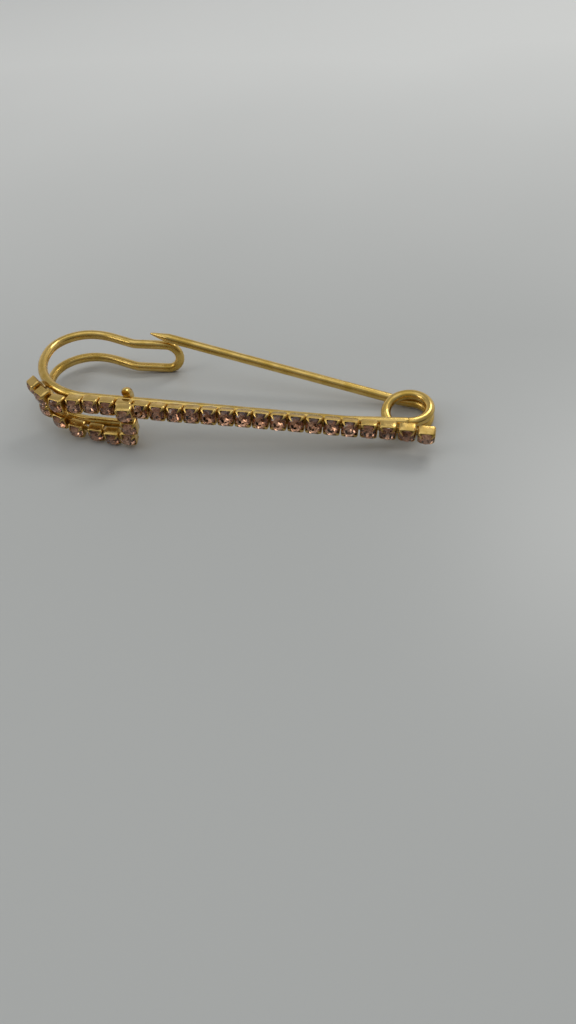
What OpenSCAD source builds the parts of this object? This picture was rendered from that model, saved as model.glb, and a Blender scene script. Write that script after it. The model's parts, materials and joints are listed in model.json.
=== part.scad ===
// Saree pin: a spring pin bent from one wire, with a chain of small set stones along its back.
// It lies on its side, as on a table: +Z is up, the bar runs along +X towards the coil, and the
// pin arm is on the +Y side. Lengths are in millimetres, angles in degrees.
// The pin is worked out flat first: the bar's line is the X axis, and the hook's upper strand lies
// in the plane z = 0. The whole pin is then tipped onto its three feet.

/* [Wire] */
// Thickness of the wire
wire_d = 1.45; // [1.4:0.05:1.5]
// Height between the two strands of the hook, middle to middle
strand_gap = 4.35; // [4.3:0.05:4.5]

/* [Bar] */
// Straight length of the bar, from the hook to the slight bend before the coil
bar_length = 37.7; // [36:0.1:39]
// Place on the bar's line at which that bend starts
kink_x = 28; // [27.5:0.1:28.5]
// Angle by which the bar turns up to the coil
kink_angle = 6; // [5:0.5:7]
// Radius of that bend
kink_radius = 20; // [15:1:25]
// Length from that bend to the start of the coil
lead_length = 7.9; // [7:0.1:8.5]

/* [Hook] */
// Radius of the hook's lower arch, which leaves the bar
low_arch_radius = 10.5; // [10.3:0.1:10.7]
// Straight length between the two arches
arch_rise = 0.4; // [0.2:0.1:0.6]
// Radius of the upper arch on the side of the tail
top_arch_radius = 6; // [5.8:0.1:6.2]
// Radius of the upper arch on the side of the nose
crest_radius = 10; // [9:0.5:11]
// Angle by which the strand falls from the crest to the valley
fall_angle = 18; // [16:1:20]
// Straight length of the fall
fall_length = 3.5; // [3:0.1:4]
// Radius of the bend in the valley
valley_radius = 3; // [2.5:0.1:3.5]
// Angle of the nose above the bar's direction
nose_angle = 4; // [2:1:6]
// Straight length from the valley to the hairpin of the nose
nose_length = 4.6; // [4:0.1:5]

/* [Wrapped end] */
// Straight length of the return strand beside the bar
return_length = 4.45; // [4.2:0.05:4.7]
// Radius of the bend where the return strand turns up to the bar
stem_radius = 1.6; // [1.5:0.1:1.8]
// How far the wrapped end sinks into the bar, where it is soldered
solder_bite = 0.1; // [0.08:0.01:0.15]
// Angle round the bar at which the wire ends, from the arm's side
wrap_end_angle = 88; // [80:1:88]

/* [Coil and pin arm] */
// Radius of the coil, to the middle of the wire
coil_radius = 3.2; // [3.1:0.05:3.3]
// Height of one turn of the coil
coil_pitch = 1.66; // [1.64:0.01:1.7]
// Turn of the coil that is left free at the bar, so that the arm can open further
free_angle = 11.8; // [11.8:0.1:13]
// Lean of the coil, with the arm's side up
coil_lean = 9; // [8:0.5:10]
// Last part of the coil
last_sweep = 71.87; // [71:0.01:73]
// Angle of the bend that lifts the arm over the hook
lift_angle = 11.11; // [10.9:0.01:11.5]
// Radius of that bend
lift_radius = 16; // [15.5:0.5:18]
// Straight length of the arm with its point
arm_length = 40.41; // [39:0.01:41]
// Length of the ground point
point_length = 3.2; // [2.5:0.1:4]
// Thickness of the rounded tip
tip_d = 0.24; // [0.2:0.02:0.4]

/* [Settings] */
// Side of a square setting
setting_w = 2.42; // [2.38:0.01:2.44]
// Height of a setting's walls
setting_h = 1.5; // [1.4:0.05:1.55]
// Thickness of a setting's floor
setting_floor = 0.35; // [0.25:0.05:0.4]
// Radius that rounds a setting's four corners
setting_corner = 1.6; // [1.55:0.01:1.65]
// Distance from one setting to the next along the bar
chain_pitch = 2.56; // [2.55:0.01:2.58]
// Where the first setting on the bar stands
first_x = -8.6; // [-8.7:0.05:-8.5]
// Extra distance between the last settings, where the chain twists
end_stretch = 0.12; // [0:0.01:0.14]
// Gap between a setting and the wire
seat_gap = 0.1; // [0.1:0.01:0.14]
// Settings on the straight run of the bar
straight_settings = 20; // [16:1:20]

/* [Prongs] */
// Thickness of a prong
prong_d = 0.3; // [0.28:0.01:0.32]
// Distance of a prong's foot from the middle of the setting
prong_reach = 1.36; // [1.35:0.01:1.37]
// Height of a prong's foot above the base
prong_foot = 1.25; // [1.15:0.05:1.3]
// Length of a prong
prong_length = 0.74; // [0.6:0.02:0.76]
// Lean of a prong over the stone
prong_lean = 20; // [16:1:20]

/* [Stones] */
// Radius of a stone's girdle
stone_r = 1.04; // [1:0.01:1.04]
// Radius of a stone's table
table_r = 0.58; // [0.5:0.01:0.62]
// Height of the girdle's lower edge above the base of the setting
girdle_z = 1.45; // [1.4:0.01:1.5]
// Height of the girdle
girdle_h = 0.07; // [0.05:0.01:0.1]
// Height of the crown above the girdle
crown_h = 0.46; // [0.4:0.01:0.5]
// Depth of the pavilion under the girdle
pavilion_h = 0.68; // [0.6:0.01:0.7]
// Gap between a stone's girdle and its setting
stone_play = 0.07; // [0.06:0.01:0.07]
// Radius of the flat at a stone's lowest point
culet_r = 0.15; // [0.1:0.01:0.2]

/* [Hidden] */
$fn = 64;
wire_r = wire_d / 2;
slack = 1; // how far a cutter runs past a face
joint_r = wire_r + 0.008; // ball where two rows of a wire join
joint_gap = 0.02; // how far a row stops short of that ball's middle
stone_sides = 8; // sides of each of the two forms that a stone is cut from
half_side = 180 / stone_sides;
form_r = stone_r * cos(half_side / 2) / cos(half_side); // corner radius of a stone's two forms
second_table = 1.06; // table of the second form, as a share of the first one's
coil_quarters = 4; // quarter turns in the coil between its first one and its last part

// Columns of a table of bends: straight run, turn of the wire about its own line before the run,
// angle of the bend after the run, and radius of that bend.
RUN = 0;
TURN = 1;
BEND = 2;
RADIUS = 3;

// Key points of the flat pin
arch_x = kink_x - bar_length;
kink_end = [kink_x + kink_radius * sin(kink_angle), kink_radius * (1 - cos(kink_angle)), 0];
lead_dir = [cos(kink_angle), sin(kink_angle), 0];
lead_side = [-sin(kink_angle), cos(kink_angle), 0];
bar_end = kink_end + lead_length * lead_dir;
coil_centre = bar_end + coil_radius * (lead_side * cos(coil_lean) + [0, 0, sin(coil_lean)]);
arch_centre = [arch_x, low_arch_radius, 0];

// The wrapped end leaves the return strand on the line that touches the wrap's circle
wrap_radius = wire_d - solder_bite;
touch_angle = asin(wrap_radius / strand_gap);
stem_length = sqrt(strand_gap * strand_gap - wrap_radius * wrap_radius) - stem_radius;

FRAME_BENDS = [
    // run, turn, bend, radius
    [lead_length, 0, kink_angle, kink_radius],                  // lead, into the bar
    [bar_length, 0, 90, low_arch_radius],                       // bar, into the hook
    [arch_rise, 0, 90, top_arch_radius],                        // upper strand, to the crest
    [0, 0, fall_angle, crest_radius],                           // over the crest
    [fall_length, 180, fall_angle + nose_angle, valley_radius], // fall, into the valley
    [nose_length, -90, 180, strand_gap / 2],                    // nose, down its hairpin
    [nose_length, 90, fall_angle + nose_angle, valley_radius],  // lower strand, back the same way
    [fall_length, 180, fall_angle, crest_radius],
    [0, 0, 90, top_arch_radius],
    [arch_rise, 0, 90, low_arch_radius],
    [return_length, 90 - touch_angle, 90, stem_radius],         // return strand, up to the bar
    [stem_length, 90, touch_angle + wrap_end_angle, wrap_radius] // stem, round the bar
];

// Each quarter of the coil is an arc that dips a little, and the next one is turned to dip again
dip_angle = asin(coil_pitch / 8 / coil_radius);
COIL_BENDS = concat(
    [[0, -dip_angle, 90 - free_angle, coil_radius]],
    [for (quarter = [1:coil_quarters]) [0, -2 * dip_angle, 90, coil_radius]],
    [[0, -2 * dip_angle, last_sweep, coil_radius], [0, 90, lift_angle, lift_radius]]
);

// Frames of a wire: the columns are its own X, Y and Z, and its place
function frame_of(x, z, place) =
    let (y = cross(z, x))
    [[x.x, y.x, z.x, place.x], [x.y, y.y, z.y, place.y], [x.z, y.z, z.z, place.z], [0, 0, 0, 1]];
function turn_matrix(a) = [[cos(a), -sin(a), 0, 0], [sin(a), cos(a), 0, 0], [0, 0, 1, 0], [0, 0, 0, 1]];
function bend_matrix(a, r) =
    [[cos(a), 0, sin(a), r * (1 - cos(a))], [0, 1, 0, 0], [-sin(a), 0, cos(a), r * sin(a)], [0, 0, 0, 1]];
function run_matrix(h) = [[1, 0, 0, 0], [0, 1, 0, 0], [0, 0, 1, h], [0, 0, 0, 1]];
function row_matrix(row) =
    turn_matrix(row[TURN]) * run_matrix(row[RUN]) * bend_matrix(row[BEND], row[RADIUS]);
function frames(rows, start, n = 0) =
    n == len(rows) ? [start] : concat([start], frames(rows, start * row_matrix(rows[n]), n + 1));

FRAME_START = frame_of(lead_side, -lead_dir, bar_end);
COIL_START = frame_of(lead_side, lead_dir, bar_end) * row_matrix([0, coil_lean, free_angle, coil_radius]);
COIL_PLACES = frames(COIL_BENDS, COIL_START);
ARM_PLACE = COIL_PLACES[len(COIL_BENDS)];

// Columns of a table of settings: middle of the setting at its stone, tilt of its face downwards,
// turn of its face about +Z, and turn of the square about the way that the stone looks.
X = 0;
Y = 1;
Z = 2;
TILT = 3;
FACE = 4;
SQUARE = 5;

stone_mid = 1.7; // height of a setting's middle above its base
seat = wire_r + seat_gap + stone_mid;

function arch_dir(along) = [-sin(along), -cos(along), 0];
function face_dir(flat, down) = flat * cos(down) - [0, 0, sin(down)];
function up_dir(flat, down) = flat * sin(down) + [0, 0, cos(down)];

// The chain rolls round the bar. Between these places along the bar it is worked out how far the
// faces look down, or up where it is negative, and how far the chain lies below the bar's middle.
PLACE = 0;
DOWN = 1;
LOW = 2;
BAR_ROLL = [
    // place, down, low
    [-9, 0, 0],
    [3, -8, 0.42],
    [7, -16, 0.5],
    [14, -22.5, 0.55],
    [25, -19.5, 0.42],
    [30, -15.5, 0.3],
    [32.5, 0, -0.2],
    [40.6, 22, -1.4]
];
function roll_at(x, column) = lookup(x, [for (row = BAR_ROLL) [row[PLACE], row[column]]]);

// By the coil the chain stands out from the bar in a shallow bow, because the bar turns away from it
stretch_from = 15; // the setting after which the last ones stand further apart
bow_rate = 0.0025; // bow at one millimetre past the bend
front = [0, -1, 0]; // the way that the chain faces
function bar_x(n) = first_x + n * chain_pitch + end_stretch * max(0, n - stretch_from);
function bar_bow(x) = bow_rate * pow(max(0, x - kink_x), 2);
function bar_row(x) =
    let (down = roll_at(x, DOWN))
    let (foot = [x, -bar_bow(x), 0] - roll_at(x, LOW) * up_dir(front, down))
    let (mid = foot + seat * face_dir(front, down))
    [mid.x, mid.y, mid.z, down, 0, 0];

// The chain's free tail leaves the bar where the hook starts, and comes back to it at its end
TAIL_SETTINGS = [
    // x, y, z, tilt, face, square
    [-18.97, 0.96, -0.30, 26, -47, 0],
    [-16.94, -1.08, -0.50, 18, -36, 0],
    [-14.14, -2.43, -0.50, 4, -16, 0],
    [-11.23, -2.53, -0.22, -2, -3, 0]
];

BAR_SETTINGS = concat(
    TAIL_SETTINGS,
    [for (n = [0:straight_settings - 1]) bar_row(bar_x(n))]
);

// A setting of the second row that follows the lower strand round the arch
function low_row(along, z, down, square, off) =
    let (mid = arch_centre + (low_arch_radius + seat + off) * arch_dir(along) + [0, 0, z])
    [mid.x, mid.y, mid.z, down, -along, square];

// The short second row comes down in front of the first, turns, and runs back to the hook
RING_SETTINGS = [
    // x, y, z, tilt, face, square
    [-2.35, -5.15, 0.92, 10, 4, 3],
    [-2.15, -4.78, -1.70, 12, 4, 1],
    [-2.85, -4.15, -4.26, 15, 2, -1],
    [-5.60, -3.60, -4.90, 18, 0, 0],
    [-8.40, -3.05, -4.95, 14, -2, 0],
    low_row(8.7, -4.85, 12, -5, 0.25),
    low_row(21.8, -4.05, 10, 0, 0.12),
    low_row(34.8, -3.05, 8, 0, 0.12)
];

function turn_x(a, p) = [p.x, p.y * cos(a) - p.z * sin(a), p.y * sin(a) + p.z * cos(a)];
function turn_z(a, p) = [p.x * cos(a) - p.y * sin(a), p.x * sin(a) + p.y * cos(a), p.z];
function on_setting(row, p) =
    [row[X], row[Y], row[Z]] + turn_z(row[FACE], turn_x(row[TILT] + 90, turn_z(row[SQUARE], p)));

// The three feet that the pin lies on: a corner of the second row, the lower strand at the nose,
// and the coil's second turn
nose_x = arch_x - low_arch_radius + top_arch_radius + crest_radius * sin(fall_angle)
    + fall_length * cos(fall_angle) + valley_radius * (sin(fall_angle) + sin(nose_angle))
    + nose_length * cos(nose_angle);
nose_y = low_arch_radius + arch_rise + top_arch_radius - crest_radius * (1 - cos(fall_angle))
    - fall_length * sin(fall_angle) - valley_radius * (cos(nose_angle) - cos(fall_angle))
    + nose_length * sin(nose_angle);
foot_row = 3; // the setting of the second row whose corner is lowest
edge_half = sqrt(pow(setting_corner, 2) - pow(setting_w / 2, 2)); // half of a setting's straight side
ring_foot = on_setting(RING_SETTINGS[foot_row], [edge_half, -setting_w / 2, setting_h - stone_mid]);
nose_foot = [nose_x, nose_y, -strand_gap - wire_r];
function coil_point(row, angle) =
    let (bend = COIL_BENDS[row])
    let (m = COIL_PLACES[row] * turn_matrix(bend[TURN]) * bend_matrix(angle, bend[RADIUS]))
    [m[0][3], m[1][3], m[2][3] - wire_r];
function up_from(foot) =
    let (up = cross(foot - ring_foot, nose_foot - ring_foot))
    up / norm(up);

// The second turn's lowest point, over a floor that goes through the end of the first turn
first_row = 2; // row of the coil's bends that is looked at first
coil_points = [for (row = [first_row:len(COIL_BENDS) - 1], angle = [0:0.5:COIL_BENDS[row][BEND]])
    coil_point(row, angle)];
first_up = up_from(coil_point(coil_quarters, 0));
lowest = min([for (p = coil_points) p * first_up]);
coil_foot = [for (p = coil_points) if (p * first_up == lowest) p][0];

floor_normal = up_from(coil_foot);
lie_angle = acos(floor_normal.z);
lie_axis = [floor_normal.y, -floor_normal.x, 0];

// A point of the flat pin, turned as the pin lies
function lying(p) =
    let (k = lie_axis / norm(lie_axis))
    p * cos(lie_angle) + cross(k, p) * sin(lie_angle) + k * (k * p) * (1 - cos(lie_angle));

// The outline of the lying pin, whose middle goes over the origin
strands = [0, -strand_gap];
square_corners = [[-1, -1], [-1, 1], [1, -1], [1, 1]];
hook_left = min([for (z = strands) lying([arch_x - low_arch_radius, low_arch_radius, z]).x]) - wire_r;
hook_back = max([for (z = strands)
    lying([arch_x - low_arch_radius + top_arch_radius, low_arch_radius + arch_rise + top_arch_radius, z]).y])
    + wire_r;
last_setting = BAR_SETTINGS[len(BAR_SETTINGS) - 1];
first_ring = RING_SETTINGS[0];
chain_right = max([for (c = square_corners, z = [-stone_mid, setting_h - stone_mid])
    lying(on_setting(last_setting, [c.x * setting_w / 2, c.y * setting_w / 2, z])).x]);
prong_tip = [
    (prong_reach - prong_length * sin(prong_lean)) / sqrt(2),
    prong_foot + prong_length * cos(prong_lean) - stone_mid
];
ring_front = min([for (c = square_corners)
    lying(on_setting(first_ring, [c.x * prong_tip[0], c.y * prong_tip[0], prong_tip[1]])).y]) - prong_d / 2;
middle = [(hook_left + chain_right) / 2, (hook_back + ring_front) / 2, ring_foot * floor_normal];

// Draws a bent wire. Each row stands in its own frame, a straight run along its +Z and then a bend
// towards its +X. Small balls join the rows, so that no two of them have to meet face to face.
module bent_wire(rows, start) {
    places = frames(rows, start);
    for (n = [0:len(rows) - 1]) {
        multmatrix(places[n] * turn_matrix(rows[n][TURN]))
            wire_row(rows[n], n > 0);
    }
}

// One row of a wire, with a ball at its start if it joins another.
module wire_row(row, joined) {
    if (joined) {
        sphere(r = joint_r);
    }
    if (row[RUN] > 0) {
        low = joined ? joint_gap : 0;
        high = row[BEND] > 0 ? row[RUN] - joint_gap : row[RUN];
        translate([0, 0, low])
            cylinder(h = high - low, d = wire_d);
    }
    if (row[RUN] > 0 && row[BEND] > 0) {
        translate([0, 0, row[RUN]])
            sphere(r = joint_r);
    }
    if (row[BEND] > 0) {
        translate([0, 0, row[RUN]])
            wire_bend(row[BEND], row[RADIUS]);
    }
}

// One bend of the wire, from the origin along +Z towards +X, a hair short at both ends.
module wire_bend(angle, radius) {
    short = joint_gap / radius * 180 / PI;
    translate([radius, 0, 0])
        rotate([90, 0, 180])
            rotate([0, 0, short])
                rotate_extrude(angle = angle - 2 * short)
                    translate([radius, 0])
                        circle(d = wire_d);
}

// The bar, the hook and the wrapped end, from the coil's side to the cut end on the bar.
module frame_wire() {
    bent_wire(FRAME_BENDS, FRAME_START);
}

// The coil, then the straight arm with its ground point.
module arm_wire() {
    bent_wire(COIL_BENDS, COIL_START);
    multmatrix(ARM_PLACE) {
        sphere(r = joint_r);
        translate([0, 0, joint_gap])
            pointed_arm();
    }
}

// The arm along +Z.
module pointed_arm() {
    cylinder(h = arm_length - point_length, d = wire_d);
    translate([0, 0, arm_length - point_length])
        cylinder(h = point_length - tip_d / 2, d1 = wire_d, d2 = tip_d);
    translate([0, 0, arm_length - tip_d / 2])
        sphere(d = tip_d);
}

// One square setting on its base, with the pocket for its stone and four prongs.
module setting() {
    difference() {
        intersection() {
            translate([-setting_w / 2, -setting_w / 2, 0])
                cube([setting_w, setting_w, setting_h]);
            cylinder(h = setting_h, r = setting_corner);
        }
        translate([0, 0, setting_floor])
            cylinder(h = setting_h + slack, r = stone_r + stone_play);
    }
    for (corner = [45:90:315]) {
        rotate([0, 0, corner])
            translate([prong_reach, 0, prong_foot])
                rotate([0, -prong_lean, 0])
                    prong();
    }
}

module prong() {
    cylinder(h = prong_length, d = prong_d);
    translate([0, 0, prong_length])
        sphere(d = prong_d);
}

// One cut stone: table, sixteen crown facets, girdle and pavilion, as two eight-sided forms that
// are turned against each other by half a side. Where their sides cross, the girdle has its radius.
module stone() {
    intersection() {
        stone_form(table_r, 0);
        stone_form(table_r * second_table, half_side);
    }
}

module stone_form(top_r, turn) {
    rotate([0, 0, turn]) {
        translate([0, 0, girdle_z - pavilion_h])
            cylinder(h = pavilion_h, r1 = culet_r, r2 = form_r, $fn = stone_sides);
        translate([0, 0, girdle_z])
            cylinder(h = girdle_h, r = form_r, $fn = stone_sides);
        translate([0, 0, girdle_z + girdle_h])
            cylinder(h = crown_h, r1 = form_r, r2 = top_r, $fn = stone_sides);
    }
}

// Puts a child at each row of a table of settings.
module along_chain(rows) {
    for (row = rows) {
        translate([row[X], row[Y], row[Z]])
            rotate([0, 0, row[FACE]])
                rotate([row[TILT] + 90, 0, 0])
                    rotate([0, 0, row[SQUARE]])
                        translate([0, 0, -stone_mid])
                            children();
    }
}

// Tips the flat pin onto its feet and puts the middle of its outline over the origin.
module laid_down() {
    translate(-middle)
        rotate(a = lie_angle, v = lie_axis)
            children();
}

module wire_frame() {
    color("gold")
        laid_down()
            frame_wire();
}

module spring_arm() {
    color("gold")
        laid_down()
            arm_wire();
}

module bar_settings() {
    color("goldenrod")
        laid_down()
            along_chain(BAR_SETTINGS)
                setting();
}

module ring_settings() {
    color("goldenrod")
        laid_down()
            along_chain(RING_SETTINGS)
                setting();
}

module bar_stones() {
    color("rosybrown")
        laid_down()
            along_chain(BAR_SETTINGS)
                stone();
}

module ring_stones() {
    color("rosybrown")
        laid_down()
            along_chain(RING_SETTINGS)
                stone();
}

wire_frame();
spring_arm();
bar_settings();
ring_settings();
bar_stones();
ring_stones();
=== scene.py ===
"""Looks of a saree pin: one gilded wire, a chain of set glass stones, and a pale table under soft light.

The wire and the chain are worked out flat and in millimetres, as they are made, and are then turned
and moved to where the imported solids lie. The wire, the cups, the links and the solder are surfaces
on grids of two parameters, and a stone is rings of points joined by flat facets.
"""

import json
import logging
import math
from dataclasses import dataclass, field
from enum import Enum

import bpy
import numpy as np
from mathutils import Matrix

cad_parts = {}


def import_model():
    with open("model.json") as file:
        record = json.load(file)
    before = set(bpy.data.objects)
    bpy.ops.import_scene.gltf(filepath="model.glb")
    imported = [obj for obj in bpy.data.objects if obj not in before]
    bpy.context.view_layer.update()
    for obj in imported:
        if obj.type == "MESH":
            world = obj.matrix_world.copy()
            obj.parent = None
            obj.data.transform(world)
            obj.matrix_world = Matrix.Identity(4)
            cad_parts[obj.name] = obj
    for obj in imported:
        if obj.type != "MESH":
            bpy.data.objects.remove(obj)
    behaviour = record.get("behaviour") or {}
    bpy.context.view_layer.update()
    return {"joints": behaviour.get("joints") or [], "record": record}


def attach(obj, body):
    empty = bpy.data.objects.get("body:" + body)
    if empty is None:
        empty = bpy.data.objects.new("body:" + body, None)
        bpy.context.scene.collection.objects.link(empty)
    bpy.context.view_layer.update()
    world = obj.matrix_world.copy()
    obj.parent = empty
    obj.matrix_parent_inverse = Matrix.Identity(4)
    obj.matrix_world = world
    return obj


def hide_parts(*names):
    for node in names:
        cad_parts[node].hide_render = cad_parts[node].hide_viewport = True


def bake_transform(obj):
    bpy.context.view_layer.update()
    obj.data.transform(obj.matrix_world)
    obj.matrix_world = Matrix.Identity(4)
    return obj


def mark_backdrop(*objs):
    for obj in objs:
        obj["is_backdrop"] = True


LOG = logging.getLogger("saree_pin")
MM = 0.001
TURN = 2 * math.pi

Colour = tuple[float, float, float]
Place = tuple[float, float, float]
SeatRow = tuple[float, ...]


class Slot(Enum):
    """The record's material slots."""

    WIRE = "wire"
    SETTING = "setting"
    STONE = "stone"


class Body(Enum):
    """The bodies that pieces ride on."""

    FRAME = "frame"
    ARM = "arm"


# Directions and angles


def unit(vectors: np.ndarray) -> np.ndarray:
    """The vectors at length one, where the last axis holds x, y and z."""
    return vectors / np.linalg.norm(vectors, axis=-1, keepdims=True)


def round_angles(count: int) -> np.ndarray:
    """Angles evenly round a full turn, starting at 0."""
    return np.linspace(0, TURN, count, endpoint=False)


def about_z(degrees: np.ndarray) -> np.ndarray:
    """Rotation matrices about +Z.

    Args:
        degrees: one angle, or an array of them.

    Returns:
        An array of 3 by 3 matrices, with the angles' own shape in front.
    """
    a = np.radians(np.asarray(degrees, float))
    c, s, o, i = np.cos(a), np.sin(a), np.zeros_like(a), np.ones_like(a)
    return np.stack([c, -s, o, s, c, o, o, o, i], -1).reshape(*a.shape, 3, 3)


def about_x(degrees: np.ndarray) -> np.ndarray:
    """Rotation matrices about +X, which are those about +Z with every axis moved on by one."""
    return np.roll(about_z(degrees), 1, axis=(-2, -1))


def turned(turns: np.ndarray, shapes: np.ndarray) -> np.ndarray:
    """Every shape's points turned by its own rotation, in an array of shapes by points by three."""
    return np.einsum("nij,npj->npi", turns, shapes)


# Meshes


def shell_faces(rings: int, columns: int) -> list[np.ndarray]:
    """Faces of a closed shell: rings of points from its first pole to its last one.

    The points are the first pole, the rings one after another, and the last pole. A ring runs
    anticlockwise for someone who looks from the last pole to the first.

    Args:
        rings: how many rings of points there are between the poles.
        columns: how many points each ring has.

    Returns:
        The fan at the first pole, the quads between rings, and the fan at the last pole.
    """
    here = np.arange(columns)
    after = (here + 1) % columns
    base = 1 + np.arange(rings - 1)[:, None] * columns
    quads = np.stack([base + here, base + after, base + columns + after, base + columns + here], -1)
    last_ring = 1 + (rings - 1) * columns
    pole = np.full(columns, last_ring + columns)
    return [
        np.stack([np.zeros(columns, int), 1 + after, 1 + here], -1),
        quads.reshape(-1, 4),
        np.stack([last_ring + here, last_ring + after, pole], -1),
    ]


def repeated(faces: list[np.ndarray], points_each: int, copies: int) -> list[np.ndarray]:
    """The faces of one shape, for several copies whose points follow one another.

    Args:
        faces: arrays of point numbers, one row a face.
        points_each: how many points one copy has.
        copies: how many copies there are.

    Returns:
        The same arrays with every copy's faces in them.
    """
    step = (np.arange(copies) * points_each)[:, None, None]
    return [(block[None] + step).reshape(-1, block.shape[1]) for block in faces]


def closed_shells(
    first: np.ndarray, rings: np.ndarray, last: np.ndarray
) -> tuple[np.ndarray, list[np.ndarray]]:
    """Several closed shells with the same number of points.

    Args:
        first: the first pole of each shell, or one for all.
        rings: the points between the poles, an array of shells by rings by columns by three.
        last: the last pole of each shell, or one for all.

    Returns:
        The points, an array of shells by points by three, and the faces of all the shells.
    """
    count, ring_count, columns = rings.shape[:3]
    start, end = (np.broadcast_to(pole, (count, 3))[:, None] for pole in (first, last))
    points = np.concatenate([start, rings.reshape(count, -1, 3), end], 1)
    return points, repeated(shell_faces(ring_count, columns), points.shape[1], count)


def make_piece(
    name: str, points: np.ndarray, faces: list[np.ndarray], sharp: float = 0
) -> bpy.types.Object:
    """A mesh object at the origin, with its place in its mesh.

    Args:
        name: the piece's name.
        points: its points in metres, in the row frame.
        faces: arrays of point numbers, one row a face.
        sharp: the angle in degrees past which an edge stays crisp; 0 leaves every face flat.

    Returns:
        The new object, linked to the scene.
    """
    mesh = bpy.data.meshes.new(name)
    mesh.from_pydata(points.reshape(-1, 3).tolist(), [], [f for block in faces for f in block.tolist()])
    if sharp > 0:
        mesh.shade_smooth()
        mesh.set_sharp_from_angle(angle=math.radians(sharp))
    mesh.update()
    piece = bpy.data.objects.new(name, mesh)
    bpy.context.scene.collection.objects.link(piece)
    return piece


def add_attribute(piece: bpy.types.Object, name: str, values: np.ndarray) -> None:
    """Gives each point of a piece a number or a vector that its material reads.

    Args:
        piece: the mesh object.
        name: the attribute's name.
        values: one number a point, or three, or one number for the whole piece.
    """
    values = np.asarray(values, np.float32)
    if values.ndim == 0:
        values = np.full(len(piece.data.vertices), values)
    kind, key = ("FLOAT_VECTOR", "vector") if values.ndim == 2 else ("FLOAT", "value")
    piece.data.attributes.new(name, kind, "POINT").data.foreach_set(key, values.ravel())


def finish_piece(
    piece: bpy.types.Object, materials: list[bpy.types.Material], node: str | None = None
) -> bpy.types.Object:
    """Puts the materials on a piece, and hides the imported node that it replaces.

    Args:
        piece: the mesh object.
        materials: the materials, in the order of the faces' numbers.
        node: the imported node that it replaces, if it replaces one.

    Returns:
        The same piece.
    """
    for material in materials:
        piece.data.materials.append(material)
    if node is not None:
        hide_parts(node)
    return piece


# Materials


class Nodes:
    """A node tree with short ways to add and join nodes."""

    def __init__(self, tree: bpy.types.NodeTree) -> None:
        """Starts from an empty tree."""
        tree.nodes.clear()
        self.tree = tree

    def feed(self, entry: bpy.types.NodeSocket, value: object) -> None:
        """Joins a socket to an input, or sets the input.

        Args:
            entry: the input.
            value: a socket, a number, or a colour of three numbers.
        """
        if isinstance(value, bpy.types.NodeSocket):
            self.tree.links.new(value, entry)
        elif isinstance(value, tuple):
            entry.default_value = (*value, 1)
        else:
            entry.default_value = value

    def add(self, kind: str, inputs: dict | None = None, **settings: object) -> bpy.types.Node:
        """Adds one node.

        Args:
            kind: the node's type.
            inputs: what its inputs are fed with, by name or number.
            settings: the node's own properties.

        Returns:
            The new node.
        """
        node = self.tree.nodes.new(kind)
        for key, value in settings.items():
            setattr(node, key, value)
        for key, value in (inputs or {}).items():
            self.feed(node.inputs[key], value)
        return node

    def mix(self, factor: object, first: object, second: object) -> bpy.types.NodeSocket:
        """A mix of two colours, where the factor is the share of the second."""
        return self.add("ShaderNodeMix", {0: factor, 6: first, 7: second}, data_type="RGBA").outputs[2]

    def maths(self, operation: str, first: object, second: object) -> bpy.types.NodeSocket:
        """One sum or product of two values."""
        return self.add("ShaderNodeMath", {0: first, 1: second}, operation=operation).outputs[0]

    def plus(self, total: object, value: object, share: float) -> bpy.types.NodeSocket:
        """A value with a share of another one added to it: total + share * value."""
        return self.maths("ADD", total, self.maths("MULTIPLY", value, share))

    def spread(
        self, value: bpy.types.NodeSocket, low: float, high: float, out_low: float = 0, out_high: float = 1
    ) -> bpy.types.NodeSocket:
        """Maps one range of a value to another and holds it there.

        Args:
            value: the socket that is read.
            low: the value that gives out_low.
            high: the value that gives out_high.
            out_low: one end of the new range.
            out_high: the other end of the new range.

        Returns:
            The socket of the new value.
        """
        inputs = {0: value, 1: low, 2: high, 3: out_low, 4: out_high}
        return self.add("ShaderNodeMapRange", inputs, clamp=True).outputs[0]

    def noise(
        self, vector: bpy.types.NodeSocket, scale: object, detail: float, roughness: float = 0.5
    ) -> bpy.types.NodeSocket:
        """A soft noise between 0 and 1.

        Args:
            vector: the place that it is read at.
            scale: how many of its lumps there are in one unit of the place.
            detail: how many finer layers it has.
            roughness: how strong the finer layers are.

        Returns:
            The socket of the noise.
        """
        inputs = {"Vector": vector, "Scale": scale, "Detail": detail, "Roughness": roughness}
        return self.add("ShaderNodeTexNoise", inputs).outputs["Fac"]

    def attribute(self, name: str, output: str = "Fac") -> bpy.types.NodeSocket:
        """Reads one of the piece's own attributes."""
        return self.add("ShaderNodeAttribute", attribute_name=name).outputs[output]

    def object_coords(self) -> bpy.types.NodeSocket:
        """The piece's own coordinates, in metres."""
        return self.add("ShaderNodeTexCoord").outputs["Object"]

    def shade(self, inputs: dict[str, object]) -> None:
        """Ends a material's tree in a Principled shader with these inputs."""
        shader = self.add("ShaderNodeBsdfPrincipled", inputs)
        self.add("ShaderNodeOutputMaterial", {"Surface": shader.outputs["BSDF"]})


def new_material(name: str) -> tuple[bpy.types.Material, Nodes]:
    """An empty material and its tree of nodes."""
    material = bpy.data.materials.new(name)
    material.use_nodes = True
    return material, Nodes(material.node_tree)


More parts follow.
